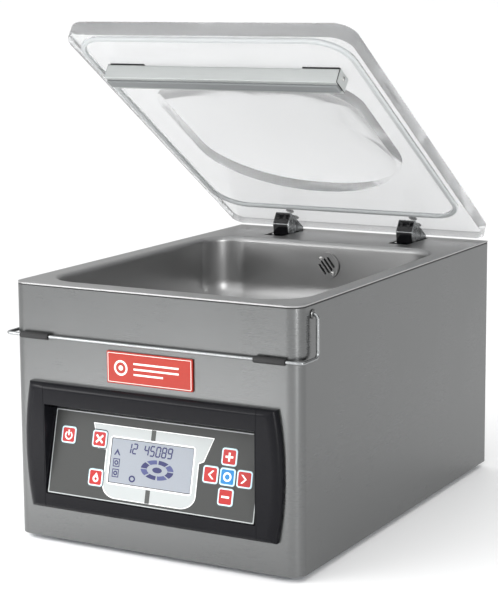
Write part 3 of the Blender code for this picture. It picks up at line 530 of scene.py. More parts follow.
def make_rear():
    refined("rear_cover", "brushed_steel", edge=0.0002, segments=2)
    low, high, centre = extent("rear_cover")
    spots = {f"{i}_{j}": (x, z) for i, x in enumerate((-0.15, 0, 0.15))
             for j, z in enumerate((low.z + 0.01, high.z - 0.008))}
    spots.update({side: (sign * 0.15, centre.z) for side, sign in LEFT_RIGHT})
    for name, (x, z) in spots.items():
        screw(f"cover_screw_{name}", move((x, high.y, z)) @ REAR_VIEW, 0.0036, 0.0021)
    refined("mains_inlet", "black_plastic", edge=0.0005)
    low, high, centre = extent("mains_inlet")
    for side, sign in LEFT_RIGHT:
        screw(f"inlet_screw_{side}", move((centre.x + sign * 0.0182, high.y, centre.z))
              @ REAR_VIEW, 0.0024, 0.0014)
    make_exhaust()
    for end in ("front", "rear"):
        for side, _ in LEFT_RIGHT:
            make_foot(f"foot_{end}_{side}")
    refined("base_plate", "zinc_steel", edge=0.0002, segments=2)


def grip_ring(radius, depth):
    """A round outline whose every second point is set in by the depth."""
    ribs = 40
    return [((radius - depth * (i % 2)) * cos(FULL * i / (2 * ribs)),
             (radius - depth * (i % 2)) * sin(FULL * i / (2 * ribs)))
            for i in range(2 * ribs)]


def make_exhaust():
    """A screw cap with a ribbed grip and a ring of breather holes."""
    low, high, centre = extent("exhaust_cap")
    outer, face = (high.x - low.x) / 2, BACK + 2 * GAP + CASING_SHEET
    height, neck, rib = high.y - face, 0.016, 0.0005
    cap = stack([(grip_ring(neck, 0), low.y - face), (grip_ring(neck, 0), 0),
                 (grip_ring(outer, rib), 0), (grip_ring(outer, rib), 0.001),
                 (grip_ring(outer - 0.0006, rib), height - 0.0022),
                 (grip_ring(outer - 0.0022, 0), height - 0.0004),
                 (grip_ring(outer - 0.003, 0), height)])
    holes = [rod(0.0013, 0.004, move((0.009 * cos(a), 0.009 * sin(a),
                                      height - 0.002)), 16)
             for a in [FULL * i / 8 for i in range(8)]]
    place = move((centre.x, face, centre.z)) @ REAR_VIEW
    piece("exhaust_cap_ribbed", moved(carved(cap, holes), place), "black_plastic",
          replaces="exhaust_cap")


def make_foot(node):
    """A moulded rubber foot with a grip groove round it and a pocket below."""
    low, high, centre = extent(node)
    radius = (high.x - low.x) / 2
    height = high.z - low.z
    profile = [(0, height), (radius, height), (radius, height - 0.001),
               (radius - 0.0006, height - 0.0016), (radius - 0.0006, height - 0.0022),
               (radius - 0.0002, height - 0.0027), (radius - 0.0014, 0.0006),
               (radius - 0.0021, 0), (0.005, 0), (0.0046, 0.0022), (0, 0.0022)]
    piece(node + "_moulded", turned(profile, move((centre.x, centre.y, low.z))), "black_rubber",
          replaces=node)


def make_deck_gap_shade():
    """A black strip filling the gap between the casing's top edge and the deck: painted shade standing
    for the shadow in that gap.
    """
    loops = [outline(HALF_WIDTH - d, FRONT + d, BACK - d, CASING_CORNER - d, 0.002)
             for d in (0.0004, 0.0034)]
    slack = 0.00005
    # painted shade: the strip's black stands for the shadow in the joint
    piece("deck_gap_shade_strip", plate(loops, CASING_TOP + slack, DECK_TOP - DECK_SHEET - slack),
          "black_rubber")


# ---- chamber
def chamber_ring(inset, fall):
    corner = CHAMBER_CORNER - inset
    loop = outline(CHAMBER_HALF_WIDTH - inset, CHAMBER_FRONT + inset, CHAMBER_BACK - inset,
                   corner, corner, 24)
    return at_height(loop, DECK_TOP - fall)


def make_deck():
    """The top sheet with the deep-drawn chamber, its folded lip and its openings."""
    rear, lip_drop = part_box("chamber_deck")[1].y, 0.0088
    top = outline(HALF_WIDTH, FRONT, rear, CASING_CORNER, 0.001, 24)
    inner = outline(HALF_WIDTH - 0.001, FRONT + 0.001, rear - 0.001, CASING_CORNER - 0.001,
                    0.0005, 24)
    rings = [at_height(top, DECK_TOP - 0.0002), at_height(inner, DECK_TOP),
             chamber_ring(-0.0015, 0)]
    for a in [QUARTER * i / 8 for i in range(9)]:
        rings.append(chamber_ring(RIM_RADIUS * sin(a), RIM_RADIUS * (1 - cos(a))))
    foot = CHAMBER_DEPTH - CHAMBER_FILLET
    for a in [QUARTER * i / 14 for i in range(15)]:
        rings.append(chamber_ring(RIM_RADIUS + CHAMBER_FILLET * (1 - cos(a)),
                                  foot + CHAMBER_FILLET * sin(a)))
    rings.append(chamber_ring(RIM_RADIUS + CHAMBER_FILLET + 0.002, CHAMBER_DEPTH))
    bm = bmesh.new()
    bm.from_mesh(loft(rings, cap_first=False))
    edges = [e for e in bm.edges if e.is_boundary and all(v.co.y > rear - 0.00001 for v in e.verts)]
    lip = {}
    for edge in edges:
        beside = edge.link_loops[0]
        ends = beside.link_loop_next.vert, beside.vert
        for end in ends:
            if end not in lip:
                lip[end] = bm.verts.new(end.co - Vector((0, 0, lip_drop)))
        bm.faces.new((*ends, lip[ends[1]], lip[ends[0]]))
    deck = sheet_of(mesh_from(bm), DECK_SHEET)
    port = middle_of("suction_grille")
    tools = [rod(PORT_RADIUS, 0.03, move((port.x, CHAMBER_BACK + 0.01, port.z)) @ FRONT_VIEW)]
    for side, _ in LEFT_RIGHT:
        slot = rectangle((middle_of(f"hinge_arm_{side}").x, (SLOT_FRONT + SLOT_BACK) / 2),
                         2 * SLOT_HALF_WIDTH, SLOT_BACK - SLOT_FRONT, 0.002)
        tools.append(plate([slot], DECK_TOP - 0.006, DECK_TOP + 0.006))
    piece("deck_and_chamber", carved(deck, tools), "chamber_steel", replaces="chamber_deck",
          edge=0.0003, segments=2, sharp=40)


def make_chamber_fittings():
    refined("suction_grille", "chamber_steel", edge=0.0003, segments=2)
    low, high, centre = extent("suction_grille")
    across = 0.0113 * Vector((cos(radians(-48)), 0, sin(radians(-48))))
    for number, sign in enumerate((-1, 1)):
        place = move(Vector((centre.x, low.y, centre.z)) + sign * across) @ FRONT_VIEW
        screw(f"grille_screw_{number}", place, 0.0021, 0.0012)
    gauze = rod(PORT_RADIUS - 0.0006, 0.0006,
                move((centre.x, high.y + 0.0012, centre.z)) @ FRONT_VIEW)
    piece("suction_filter", gauze, "black_rubber", edge=0.0001, segments=1)
    refined("seal_bar", "aluminium", "seal_bar_lift", 0.0007)
    make_band()
    low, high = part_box("seal_bar")
    for side, sign in LEFT_RIGHT:
        for number, (y, facing) in enumerate(((low.y, FRONT_VIEW), (high.y, REAR_VIEW))):
            place = move((sign * (high.x - 0.012), y, high.z - 0.01)) @ facing
            screw(f"band_clamp_screw_{side}_{number}", place, 0.003, 0.0016, "brass",
                  "seal_bar_lift")
        make_lifter(side)


def make_band():
    """The woven band over the bar's heating wire, crowned along its middle."""
    low, high, centre = extent("sealing_band")
    half, crown = (high.y - low.y) / 2, 0.0002
    rings = []
    for x, rise in ((low.x, crown / 2), (low.x + 0.0005, crown), (high.x - 0.0005, crown),
                    (high.x, crown / 2)):
        section = [(-half, low.z), (half, low.z), (half, high.z - crown)]
        section += arc((0, high.z - crown), half, rise, 0, pi, 12)[1:]
        rings.append([(x, centre.y + y, z) for y, z in section])
    piece("sealing_band_woven", loft(rings), "brown_band", "seal_bar_lift", "sealing_band")


def make_lifter(side):
    node = f"lifter_cylinder_{side}"
    low, high, centre = extent(node)
    axis = move((centre.x, centre.y, 0))
    top, foot, bore = high.z, low.z, 0.0053
    profile = [(bore, top), (0.0088, top), (0.0095, top - 0.0006), (0.011, top - 0.003),
               (0.011, foot + 0.01), (0.0104, foot + 0.0094), (0.0104, foot + 0.008),
               (0.011, foot + 0.0074), (0.0112, foot + 0.0045), (0.0132, foot + 0.0034),
               (0.014, foot + 0.0026), (0.014, foot), (bore, foot)]
    piece(node + "_moulded", turned(profile, axis, closed=True), "black_plastic",
          replaces=node, sharp=25)
    node = f"lifter_piston_{side}"
    low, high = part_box(node)
    radius, top, foot = (high.x - low.x) / 2, high.z, low.z
    profile = [(0, top), (radius - 0.0004, top), (radius, top - 0.0004),
               (radius, top - 0.005), (radius - 0.0005, top - 0.0055),
               (radius - 0.0005, top - 0.0068), (radius, top - 0.0073),
               (radius, foot + 0.0004), (radius - 0.0004, foot), (0, foot)]
    piece(node + "_turned", turned(profile, axis), "aluminium", "seal_bar_lift", node, sharp=25)


# ---- lid
DOME_FRONT, DOME_MIDDLE, DOME_REAR = LID_REAR - 0.352, LID_REAR - 0.2295, LID_REAR - 0.104


def dome_ring(scale, spread):
    """The dome's outline: round at the rear, squarer at the front, shrunk about its middle."""
    loop = outline(DOME_HALF_WIDTH + spread, DOME_FRONT - spread, DOME_REAR + spread,
                   (0.07, 0.06), (0.118, 0.096), 28)
    return [(x * scale, DOME_MIDDLE + (y - DOME_MIDDLE) * scale) for x, y in loop]


def gasket_ring(offset):
    corner = 0.036 + offset
    return outline(GASKET_HALF_WIDTH + offset, LID_FRONT + 0.0083 - offset,
                   LID_REAR - 0.056 + offset, corner, corner, 28)


def edge_ring(inset):
    return outline(LID_WIDTH / 2 - inset, LID_FRONT + inset, LID_REAR - inset,
                   0.022 - inset, 0.013 - inset, 28)


def make_lid_panel():
    """The clear lid: a thick plate drawn up into a dome, grooved for its gasket."""
    under, over = LID_FACE, LID_FACE + LID_THICKNESS
    outer_rise = DOME_RISE + DOME_WALL - LID_THICKNESS
    scales = [sin(QUARTER * i / 22) for i in range(3, 22)]
    rises = [1 - scale ** 3 for scale in scales]
    groove, depth, spread, radius = 0.003, 0.003, 0.0035, 0.0014
    steps = [(sin(a), cos(a)) for a in (QUARTER * i / 4 for i in range(5))]
    levels = [(dome_ring(s, 0), under + DOME_RISE * rise) for s, rise in zip(scales, rises)]
    # close pairs of rings hold the flat faces flat beside the dome
    levels += [(dome_ring(1, 0.0006), under), (dome_ring(1, 0.0012), under),
               (gasket_ring(-groove), under), (gasket_ring(-groove), under + depth),
               (gasket_ring(groove), under + depth), (gasket_ring(groove), under)]
    levels += [(edge_ring(radius * (1 - up)), under + radius * (1 - out)) for up, out in steps]
    levels += [(edge_ring(radius * (1 - out)), over - radius * (1 - up)) for up, out in steps]
    levels += [(dome_ring(1, spread + 0.0008), over), (dome_ring(1, spread), over)]
    levels += [(dome_ring(s, spread), over + outer_rise * rise)
               for s, rise in zip(scales[::-1], rises[::-1])]
    piece("lid_clear", moved(stack(levels), LID), "acrylic", "lid", "lid_panel", sharp=38)


def make_gasket():
    """A soft ring whose lips stand proud of the lid's underside."""
    top, bottom, half = LID_FACE + 0.0027, LID_FACE - 0.0026, 0.0027
    profile = [(-half, top), (-half, bottom + 0.0012), (-half + 0.0006, bottom + 0.0003),
               (-half + 0.0014, bottom), (0, bottom + 0.0007), (half - 0.0014, bottom),
               (half - 0.0006, bottom + 0.0003), (half, bottom + 0.0012), (half, top)]
    ring = stack([(gasket_ring(offset), z) for offset, z in profile], closed=True)
    piece("gasket_ring", moved(ring, LID), "grey_silicone", "lid", "lid_gasket", sharp=50)


def make_silicone_bar():
    refined("silicone_holder", "bar_cover", "lid", 0.0008, 4)
    refined("silicone_strip", "strip_silicone", "lid", 0.001, 4)
    for side, sign in LEFT_RIGHT:
        refined(f"holder_pad_{side}", "black_rubber", "lid", 0.0002, 2)
        end = LID @ move((sign * 0.137, LID_FRONT + 0.0673, LID_FACE - 0.0098)) \
            @ turn(y=sign * QUARTER) @ turn(z=QUARTER)
        seam = plate([rectangle((0, 0), 0.0218, 0.0163, 0.0012)], 0, 0.0003, end)
        piece(f"holder_seam_{side}", seam, "black_rubber", "lid")
        cap = plate([rectangle((0, 0), 0.0205, 0.015, 0.0012)], 0.0003, 0.001, end)
        piece(f"holder_end_{side}", cap, "bar_cover", "lid", edge=0.0002, segments=2)
        screw(f"holder_screw_{side}", end @ move((0, 0.002, 0.001)), 0.0026, 0.0013, body="lid")


def make_hinges():
    for side, sign in LEFT_RIGHT:
        refined(f"hinge_arm_{side}", "hinge_steel", "lid", 0.0007, 3)
        make_hinge_fittings(side, middle_of(f"hinge_arm_{side}").x)
        refined(f"hinge_bracket_{side}", "zinc_steel", edge=0.0003, segments=2)
        make_lift_spring(side, sign)
    low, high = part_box("hinge_shaft")
    radius, length = (high.z - low.z) / 2, high.x - low.x
    half = [(0, 0), (radius - 0.0008, 0), (radius, 0.0008), (radius, 0.003),
            (radius - 0.0006, 0.003), (radius - 0.0006, 0.004), (radius, 0.004)]
    profile = [(r, length - z) for r, z in half] + half[::-1]
    place = move((low.x, HINGE.y, HINGE.z)) @ turn(y=QUARTER)
    piece("hinge_shaft_turned", turned(profile, place), "zinc_steel", replaces="hinge_shaft",
          sharp=25)


def make_hinge_fittings(side, x):
    """The clamp plate with its two screws on the block, and the bolt marks above the lid."""
    front_y, plate_top, plate_low = -0.05, LID_FACE - 0.0018, 0.0154
    facing = LID @ move((x, front_y, (plate_top + plate_low) / 2)) @ FRONT_VIEW
    height = plate_top - plate_low
    cover = plate([rectangle((0, 0), 0.0187, height, 0.0012)], 0.00005, 0.001, facing)
    piece(f"hinge_cover_{side}", cover, "hinge_black", "lid", edge=0.0003, segments=2)
    slope = atan2(0.009, 0.01)
    below = LID @ move((x, -0.0455, 0.01)) @ turn(x=slope) @ FRONT_VIEW
    chin = plate([rectangle((0, 0), 0.0187, 0.0126, 0.0012)], 0.00005, 0.0008, below)
    piece(f"hinge_chin_{side}", chin, "hinge_black", "lid", edge=0.0002, segments=2)
    for number, sign in enumerate((-1, 1)):
        screw(f"hinge_screw_{side}_{number}", facing @ move((sign * 0.0045, 0.0012, 0.001)),
              0.0021, 0.0011, "hinge_black", "lid", "hex")
        flank = LID @ move((x + 0.01075, -0.029, 0.0185 + 0.006 * sign)) @ SIDE_VIEW
        mark = plate([rectangle((0, 0), 0.009, 0.0014, 0.0006)], -0.0002, 0.00012,
                     flank @ turn(z=radians(-48)))
        piece(f"hinge_clamp_line_{side}_{number}", mark, "black_plastic", "lid")
    for number, y in enumerate((-0.02, -0.036)):
        top = LID_FACE + LID_THICKNESS
        washer = turned([(0, top + 0.0007), (0.0044, top + 0.0007), (0.005, top + 0.0003),
                         (0.005, top + 0.00005), (0, top + 0.00005)], LID @ move((x, y, 0)))
        piece(f"lid_washer_{side}_{number}", washer, "screw_steel", "lid")
        screw(f"lid_bolt_{side}_{number}", LID @ move((x, y, top + 0.0007)), 0.0034, 0.0018,
              body="lid", drive="hex")


def make_lift_spring(side, sign):
    """A wound spring on the shaft, its two straight ends reaching forward."""
    coil, turns, per_turn, pitch = 0.0085, 4, 40, 0.0034
    start = sign * 0.03
    end = start + sign * pitch * turns
    points = [(start, -0.03, coil), (start, -0.004, coil)]
    for i in range(turns * per_turn + 1):
        a = FULL * i / per_turn
        points.append((start + sign * pitch * i / per_turn, coil * sin(a),
                       coil * cos(a)))
    points += [(end, -0.004, coil), (end, -0.03, coil)]
    piece(f"lid_spring_{side}_wound", moved(tube(points, 0.00125, 4), move(HINGE)), "zinc_steel",
          replaces=f"lid_spring_{side}", sharp=50)


# ---- bail
def make_bail():
    low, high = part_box("bail_wire")
    side_x, front_y = high.x - BAIL_WIRE_RADIUS, low.y + BAIL_WIRE_RADIUS - BAIL_PIVOT.y
    half = [(HALF_WIDTH - 0.008, 0, 0), (side_x, 0, 0), (side_x, 0, -BAIL_DROP),
            (side_x, front_y, -BAIL_DROP)]
    path = rounded_path([(-x, y, z) for x, y, z in half] + half[::-1], 0.005)
    piece("bail_wire_bent", moved(tube(path, BAIL_WIRE_RADIUS, 6), move(BAIL_PIVOT)),
          "bail_steel", "bail", "bail_wire", sharp=60)
    bore = BAIL_WIRE_RADIUS + GAP
    for side, sign in LEFT_RIGHT:
        low, high, centre = extent(f"bail_sleeve_{side}")
        length, radius, edge = high.x - low.x, (high.z - low.z) / 2, 0.0012
        profile = [(bore, 0), (radius - edge, 0)]
        profile += [(radius - edge + edge * sin(a), edge * (1 - cos(a)))
                    for a in (0.5, 1.0, QUARTER)]
        profile += [(r, length - z) for r, z in reversed(profile)]
        place = move((low.x, centre.y, centre.z)) @ turn(y=QUARTER)
        piece(f"bail_sleeve_{side}_moulded", turned(profile, place, closed=True),
              "black_rubber", "bail", f"bail_sleeve_{side}", sharp=45)
        outside, neck, inside = 0.0016, 0.0037, -0.0045
        profile = [(bore, outside), (0.0036, outside), (0.0043, outside - 0.0002),
                   (0.0048, outside - 0.0008), (0.0048, GAP), (neck, GAP), (neck, inside),
                   (bore, inside)]
        place = move((sign * HALF_WIDTH, BAIL_PIVOT.y, BAIL_PIVOT.z)) @ turn(y=sign * QUARTER)
        piece(f"bail_bush_{side}_turned", turned(profile, place, closed=True), "brushed_steel",
              replaces=f"bail_bush_{side}")


# ---- control panel
def make_bezel():
    """The frame of the control panel: a rounded moulding with a recess sloping in to the film."""
    low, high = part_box("bezel_centre")
    film_low, film_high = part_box("membrane_panel")
    face, back, half = low.y, FRONT - GAP, high.x
    window_x, window_low, window_high = film_high.x + GAP, film_low.z - GAP, film_high.z + GAP
    section = [(back, high.z), (back, low.z)]
    section += arc((face + PANEL_ROUND, low.z + PANEL_ROUND), PANEL_ROUND, PANEL_ROUND,
                   -QUARTER, -pi, 10)
    section += arc((face + PANEL_ROUND, high.z - PANEL_ROUND), PANEL_ROUND, PANEL_ROUND,
                   pi, QUARTER, 10)
    wall = 0.0022
    sleeve = block((-window_x - wall, FRONT - 0.004, window_low - wall),
                   (window_x + wall, FRONT + 0.0145, window_high + wall))
    solid = carved(plate([section], -half, half, SIDE_VIEW), [sleeve], "UNION")

    def opening(y, grow_x=0.0, grow_top=0.0):
        return [(x, y, z) for x, z in (
            (-window_x - grow_x, window_low), (window_x + grow_x, window_low),
            (window_x + grow_x, window_high + grow_top),
            (-window_x - grow_x, window_high + grow_top))]

    taper = loft([opening(face - 0.004, 0.0014, RECESS_RISE * 1.18),
                  opening(film_high.y - 0.0025), opening(FRONT + 0.03)])
    piece("bezel_frame", carved(solid, [taper]), "dark_plastic", replaces="bezel_centre",
          edge=0.0004)


def make_bezel_end(side, sign):
    """An end moulding, flat by its seam and crowned towards its bowed outer side."""
    low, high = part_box(f"bezel_end_{side}")
    middle, half_height = (low.z + high.z) / 2, (high.z - low.z) / 2
    bulge, seam = max(abs(low.x), abs(high.x)), PANEL_SEAM_X + GAP / 2
    bow = bulge - 0.1425
    radius = (half_height ** 2 + bow ** 2) / (2 * bow)
    reach = asin(half_height / radius)
    edge = arc((bulge - radius, middle), radius, radius, -reach, reach, 28)
    base = 0.01 - GAP - PANEL_ROUND

    def ring(inset_x, inset_z, out):
        scale = (half_height - inset_z) / half_height
        loop = [(seam, high.z - inset_z), (seam, low.z + inset_z)]
        loop += [(x - inset_x, middle + (z - middle) * scale) for x, z in edge]
        return [(sign * x, FRONT - GAP - out, z) for x, z in loop]

    rings = [ring(0, 0, 0), ring(0, 0, base)]
    rings += [ring(0.01 * (1 - cos(a)), PANEL_ROUND * (1 - cos(a)),
                   base + PANEL_ROUND * sin(a))
              for a in (QUARTER * i / 10 for i in range(1, 11))]
    piece(f"bezel_cap_{side}", loft(rings), "dark_plastic", replaces=f"bezel_end_{side}",
          sharp=40)


def printed(name, loops, look, low, high, edge=0.0):
    """A printed or moulded shape on the keypad, in the keypad's own plane."""
    piece(name, plate(loops, FILM_FACE + low, FILM_FACE + high, KEYPAD), look, edge=edge,
          segments=2)


def make_keypad():
    refined("membrane_panel", "keypad_film", edge=0.0002, segments=2)
    low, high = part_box("membrane_panel")
    half_s = (high.z - low.z - 0.0025 * sin(KEYPAD_TILT)) / 2 / cos(KEYPAD_TILT)
    rim = [outline(high.x - inset, inset - half_s, half_s - inset, corner, corner, 4)
           for inset, corner in ((0.0004, 0.001), (0.0014, 0.0006))]
    printed("film_border", rim, "print_grey", PRINT_GAP, 0.00014)
    make_surround()
    make_display()
    refined("display_module", "black_plastic", edge=0.0004)
    make_board()
    for key in ("power", "cancel", "function", "up", "down", "previous", "select", "next"):
        make_key(key)


def keypad_place(node):
    """A node's middle in the keypad's own frame."""
    return KEYPAD.inverted() @ middle_of(node)


def surround_outline(grow):
    """The pale shape round the display, wide at the top, with rounded lower corners."""
    top, low = 0.0329 + grow, -0.0389 - grow
    left, right = -0.0545 - grow, 0.0525 + grow
    points = [(-0.0725 - grow, top), (-0.064 - grow, 0.008), (left, 0.008)]
    points += arc((left + 0.016, low + 0.012), 0.016, 0.012, pi, 3 * QUARTER, 12)
    points += arc((right - 0.018, low + 0.014), 0.018, 0.014, -QUARTER, 0, 12)
    points += [(right, 0.0075 - grow), (0.0579 + grow, 0.0098 - grow), (0.067 + grow, top)]
    return points[::-1]


def make_surround():
    """The printed surround with its edge line, cut away for the display and two keys."""
    glass = keypad_place("display_glass")
    low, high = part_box("display_glass")
    width, height = high.x - low.x, 0.0442
    hole = rectangle((glass.x, glass.y), width + 0.0012, height + 0.0012, 0.0012)
    edge = [surround_outline(0.0007), surround_outline(-0.0001)]
    printed("surround_edge", edge, "print_white", PRINT_GAP, 0.00016)
    cuts = [rectangle(keypad_place(f"key_{key}").xy, 0.0186, 0.0186, 0.0032)
            for key in ("cancel", "previous")]
    body = plate([surround_outline(-0.0002)], FILM_FACE + PRINT_GAP, FILM_FACE + 0.00012)
    tools = [plate([loop], FILM_FACE - 0.001, FILM_FACE + 0.001) for loop in cuts + [hole]]
    piece("surround_print", moved(carved(body, tools), KEYPAD), "print_grey")
    frame_loops = [rectangle((glass.x, glass.y), width + grow, height + grow, corner, 8)
                   for grow, corner in ((0.0042, 0.0034), (0.0012, 0.0012))]
    printed("display_frame", frame_loops, "print_white", PRINT_GAP, 0.0003, 0.0001)
    for name, low_s, high_s in (("top", 0.0226, 0.0334), ("bottom", -0.0394, -0.0262)):
        bar = rectangle((glass.x, (low_s + high_s) / 2), 0.0052, high_s - low_s, 0.0003)
        printed(f"surround_gap_{name}", [bar], "print_dark", 0.00013, 0.00022)


DIGIT_BARS = {"1": "bc", "2": "abged", "4": "fgbc", "5": "afgcd", "8": "abcdefg", "0": "abcdef",
              "9": "abcdfg"}
BAR_ENDS = {"a": (0, 1, 1, 1), "b": (1, 0.5, 1, 1), "c": (1, 0, 1, 0.5), "d": (0, 0, 1, 0),
            "e": (0, 0, 0, 0.5), "f": (0, 0.5, 0, 1), "g": (0, 0.5, 1, 0.5)}


def digit_loops(text, start, base, width, height, pitch):
    """The lit bars of seven-segment digits as slanted outlines."""
    bar, slant, loops = 0.0014, 0.12, []
    for number, digit in enumerate(text):
        left = start + number * pitch
        for name in DIGIT_BARS.get(digit, ""):
            x0, y0, x1, y1 = BAR_ENDS[name]
            first, last = [Vector((left + x * width + slant * y * height, base + y * height))
                           for x, y in ((x0, y0), (x1, y1))]
            along = (last - first).normalized()
            first, last = first + along * bar * 0.15, last - along * bar * 0.15
            across = Vector((-along.y, along.x)) * bar / 2
            loops.append([tuple(p) for p in (first - across, last - across, last + across,
                                             first + across)])
    return loops


def make_display():
    """The display: glass, a row of digits, a ring of segments and a column of symbols."""
    refined("display_glass", "display_glass", edge=0.0003, segments=2)
    centre = keypad_place("display_glass")
    x0, y0 = centre.x, centre.y

    def inked(name, loops, look="lcd_ink"):
        shapes = [plate([loop] if isinstance(loop[0], tuple) else loop, FILM_FACE + PRINT_GAP,
                        FILM_FACE + 0.0001, KEYPAD) for loop in loops]
        piece(name, together(shapes), look)

    inked("display_digits", digit_loops("12 45089", x0 - 0.0295, y0 + 0.0092, 0.0044, 0.0096,
                                        0.0068))
    hub, dark, pale = (x0 + 0.008, y0 - 0.004), [], []
    for i in range(8):
        start, end = FULL * i / 8 + 0.06, FULL * (i + 1) / 8 - 0.06
        (dark if i % 2 else pale).append(arc(hub, 0.019, 0.0098, start, end, 10)
                                         + arc(hub, 0.012, 0.0058, end, start, 10))
    dark.append(oval(hub, 0.0056, 0.0028, 24))
    inked("display_segments_dark", dark)
    inked("display_segments_pale", pale, "lcd_pale")
    ring, column = (x0 - 0.02, y0 - 0.016), x0 - 0.0402
    symbols = [[oval(ring, 0.0038, 0.0034, 32), oval(ring, 0.0021, 0.0018, 32)]]
    for y in (y0 - 0.002, y0 - 0.0125):
        symbols.append([rectangle((column, y), 0.0078, 0.0084, 0.0004),
                        rectangle((column, y), 0.006, 0.0066, 0.0003)])
        symbols.append([circle((column, y), 0.0024, 24), circle((column, y), 0.0011, 24)])
    symbols.append([(x0 - 0.044, y0 + 0.0055), (column, y0 + 0.012),
                    (x0 - 0.0364, y0 + 0.0055), (x0 - 0.038, y0 + 0.0055),
                    (column, y0 + 0.0085), (x0 - 0.0424, y0 + 0.0055)])
    inked("display_symbols", symbols)


def bar_loop(middle, length, width, angle=0.0):
    along = Vector((cos(angle), sin(angle))) * length / 2
    across = Vector((-sin(angle), cos(angle))) * width / 2
    return [tuple(Vector(middle) + a * along + b * across) for a, b in CORNERS]


def arrow_loop(sign):
    tip, tail, height, width = 0.0026 * sign, -0.0018 * sign, 0.0042, 0.0022 * sign
    loop = [(tip, 0), (tail, height), (tail - width, height), (tip - width, 0),
            (tail - width, -height), (tail, -height)]
    return loop if sign < 0 else list(reversed(loop))


def icon_loops(key):
    """Each icon as a list of shapes, a shape being its outline and any holes in it."""
    wide, thick = 0.0086, 0.002
    if key == "power":
        ring = arc((0, -0.0006), 0.0045, 0.0045, radians(122), radians(418), 30)
        ring += arc((0, -0.0006), 0.0031, 0.0031, radians(418), radians(122), 30)
        return [[ring], [bar_loop((0, 0.0022), 0.0056, 0.0015, QUARTER)]]
    if key == "cancel":
        return [[bar_loop((0, 0), 0.0108, thick, pi / 4)],
                [bar_loop((0, 0), 0.0108, thick, -pi / 4)]]
    if key == "function":
        drop = arc((0.0002, -0.0012), 0.0034, 0.0034, radians(150), radians(390), 20)
        drop.append((0.0008, 0.0052))
        return [[drop, circle((0.0004, -0.0012), 0.0016, 20)]]
    if key == "up":
        return [[bar_loop((0, 0), wide, thick)], [bar_loop((0, 0), wide, thick, QUARTER)]]
    if key == "down":
        return [[bar_loop((0, 0), wide, thick)]]
    if key == "select":
        return [[circle((0, 0), 0.0046), circle((0, 0), 0.0027)]]
    return [[arrow_loop(1 if key == "next" else -1)]]


def make_key(key):
    """A pressed-out key: its pale border, its coloured face, and its icon."""
    node = body = f"key_{key}"
    centre = keypad_place(node)
    low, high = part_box(node)
    size = high.x - low.x
    place = KEYPAD @ move((centre.x, centre.y, 0))
    top = FILM_FACE + 0.0005
    rim = plate([rectangle((0, 0), size, size, 0.003, 8)], -FILM_FACE, top, place)
    piece(node + "_border", rim, "key_border", body, node, 0.0003, 3)
    look = "key_blue" if key == "select" else "key_red"
    face = plate([rectangle((0, 0), size - 0.003, size - 0.003, 0.0018, 8)], top - 0.0001,
                 top + 0.00012, place)
    piece(node + "_face", face, look, body, edge=0.00006, segments=1)
    marks = [plate(shape, top + 0.00005, top + 0.00016 + 0.00001 * n, place)
             for n, shape in enumerate(icon_loops(key))]
    piece(node + "_icon", together(marks), "print_white", body)
    line = [rectangle((centre.x, centre.y), size + 0.0022, size + 0.0022, 0.004, 8),
            rectangle((centre.x, centre.y), size + 0.0006, size + 0.0006, 0.0032, 8)]
    printed(node + "_outline", line, "print_dark", 0.00014, 0.00024)


def make_board():
    """The board behind the film, with rows of chips on its rear face."""
    refined("control_board", "green_board", edge=0.0001, segments=1)
    depth, parts = -0.0065, []
    for i in range(5):
        for j in range(3):
            x, y = -0.085 + 0.042 * i, -0.024 + 0.024 * j
            w, h = (0.006, 0.0045) if (i + j) % 2 else (0.0035, 0.007)
            parts.append(block((x - w, y - h, depth - 0.0022), (x + w, y + h, depth - 0.0001)))
    piece("board_chips", moved(together(parts), KEYPAD), "black_plastic", edge=0.0002, segments=1)


def make_badge():
    """A plain badge: a pale line round it, a ring and three bars, with no name on it."""
    refined("name_badge", "badge_red", edge=0.0005)
    low, high, centre = extent("name_badge")
    face = move((centre.x, low.y, centre.z)) @ FRONT_VIEW
    width, height = high.x - low.x, high.z - low.z
    ring, bar_start, bar_pitch = (-0.033, 0), -0.018, 0.0055
    shapes = [[rectangle((0, 0), width - 0.003, height - 0.003, 0.001),
               rectangle((0, 0), width - 0.004, height - 0.004, 0.0006)],
              [circle(ring, 0.0078, 40), circle(ring, 0.0058, 40)], [circle(ring, 0.0026, 30)]]
    for i, length in enumerate((0.052, 0.052, 0.034)):
        shapes.append([bar_loop((bar_start + length / 2, bar_pitch - bar_pitch * i), length,
                                0.0018)])
    marks = [plate(shape, PRINT_GAP, 0.00015, face) for shape in shapes]
    piece("badge_marks", together(marks), "badge_print")


# ---- inside the casing
def make_machinery():
    low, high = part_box("vacuum_pump")
    piece("pump_body", node_mesh("vacuum_pump"), "cast_housing", replaces="vacuum_pump",
          edge=0.001)
    fins = [block((low.x + 0.01 + 0.009 * i, low.y + 0.012, high.z - 0.001),
                  (low.x + 0.013 + 0.009 * i, high.y - 0.012, high.z + 0.007))
            for i in range(10)]
    piece("pump_fins", together(fins), "cast_housing", edge=0.0008, segments=2)
    inset = 0.012
    for i, y in enumerate((low.y + inset, high.y - inset)):
        for j, z in enumerate((low.z + inset, high.z - inset)):
            screw(f"pump_screw_{i}_{j}", move((low.x, y, z)) @ turn(y=-QUARTER), 0.005, 0.004,
                  "zinc_steel", drive="hex")
    sight = turned([(0, 0.003), (0.007, 0.003), (0.009, 0.0024), (0.009, 0), (0, 0)],
                   move((-0.08, low.y, 0.05)) @ FRONT_VIEW)
    piece("oil_sight_glass", sight, "display_glass")
    make_motor()
    make_valve()
    make_transformer()


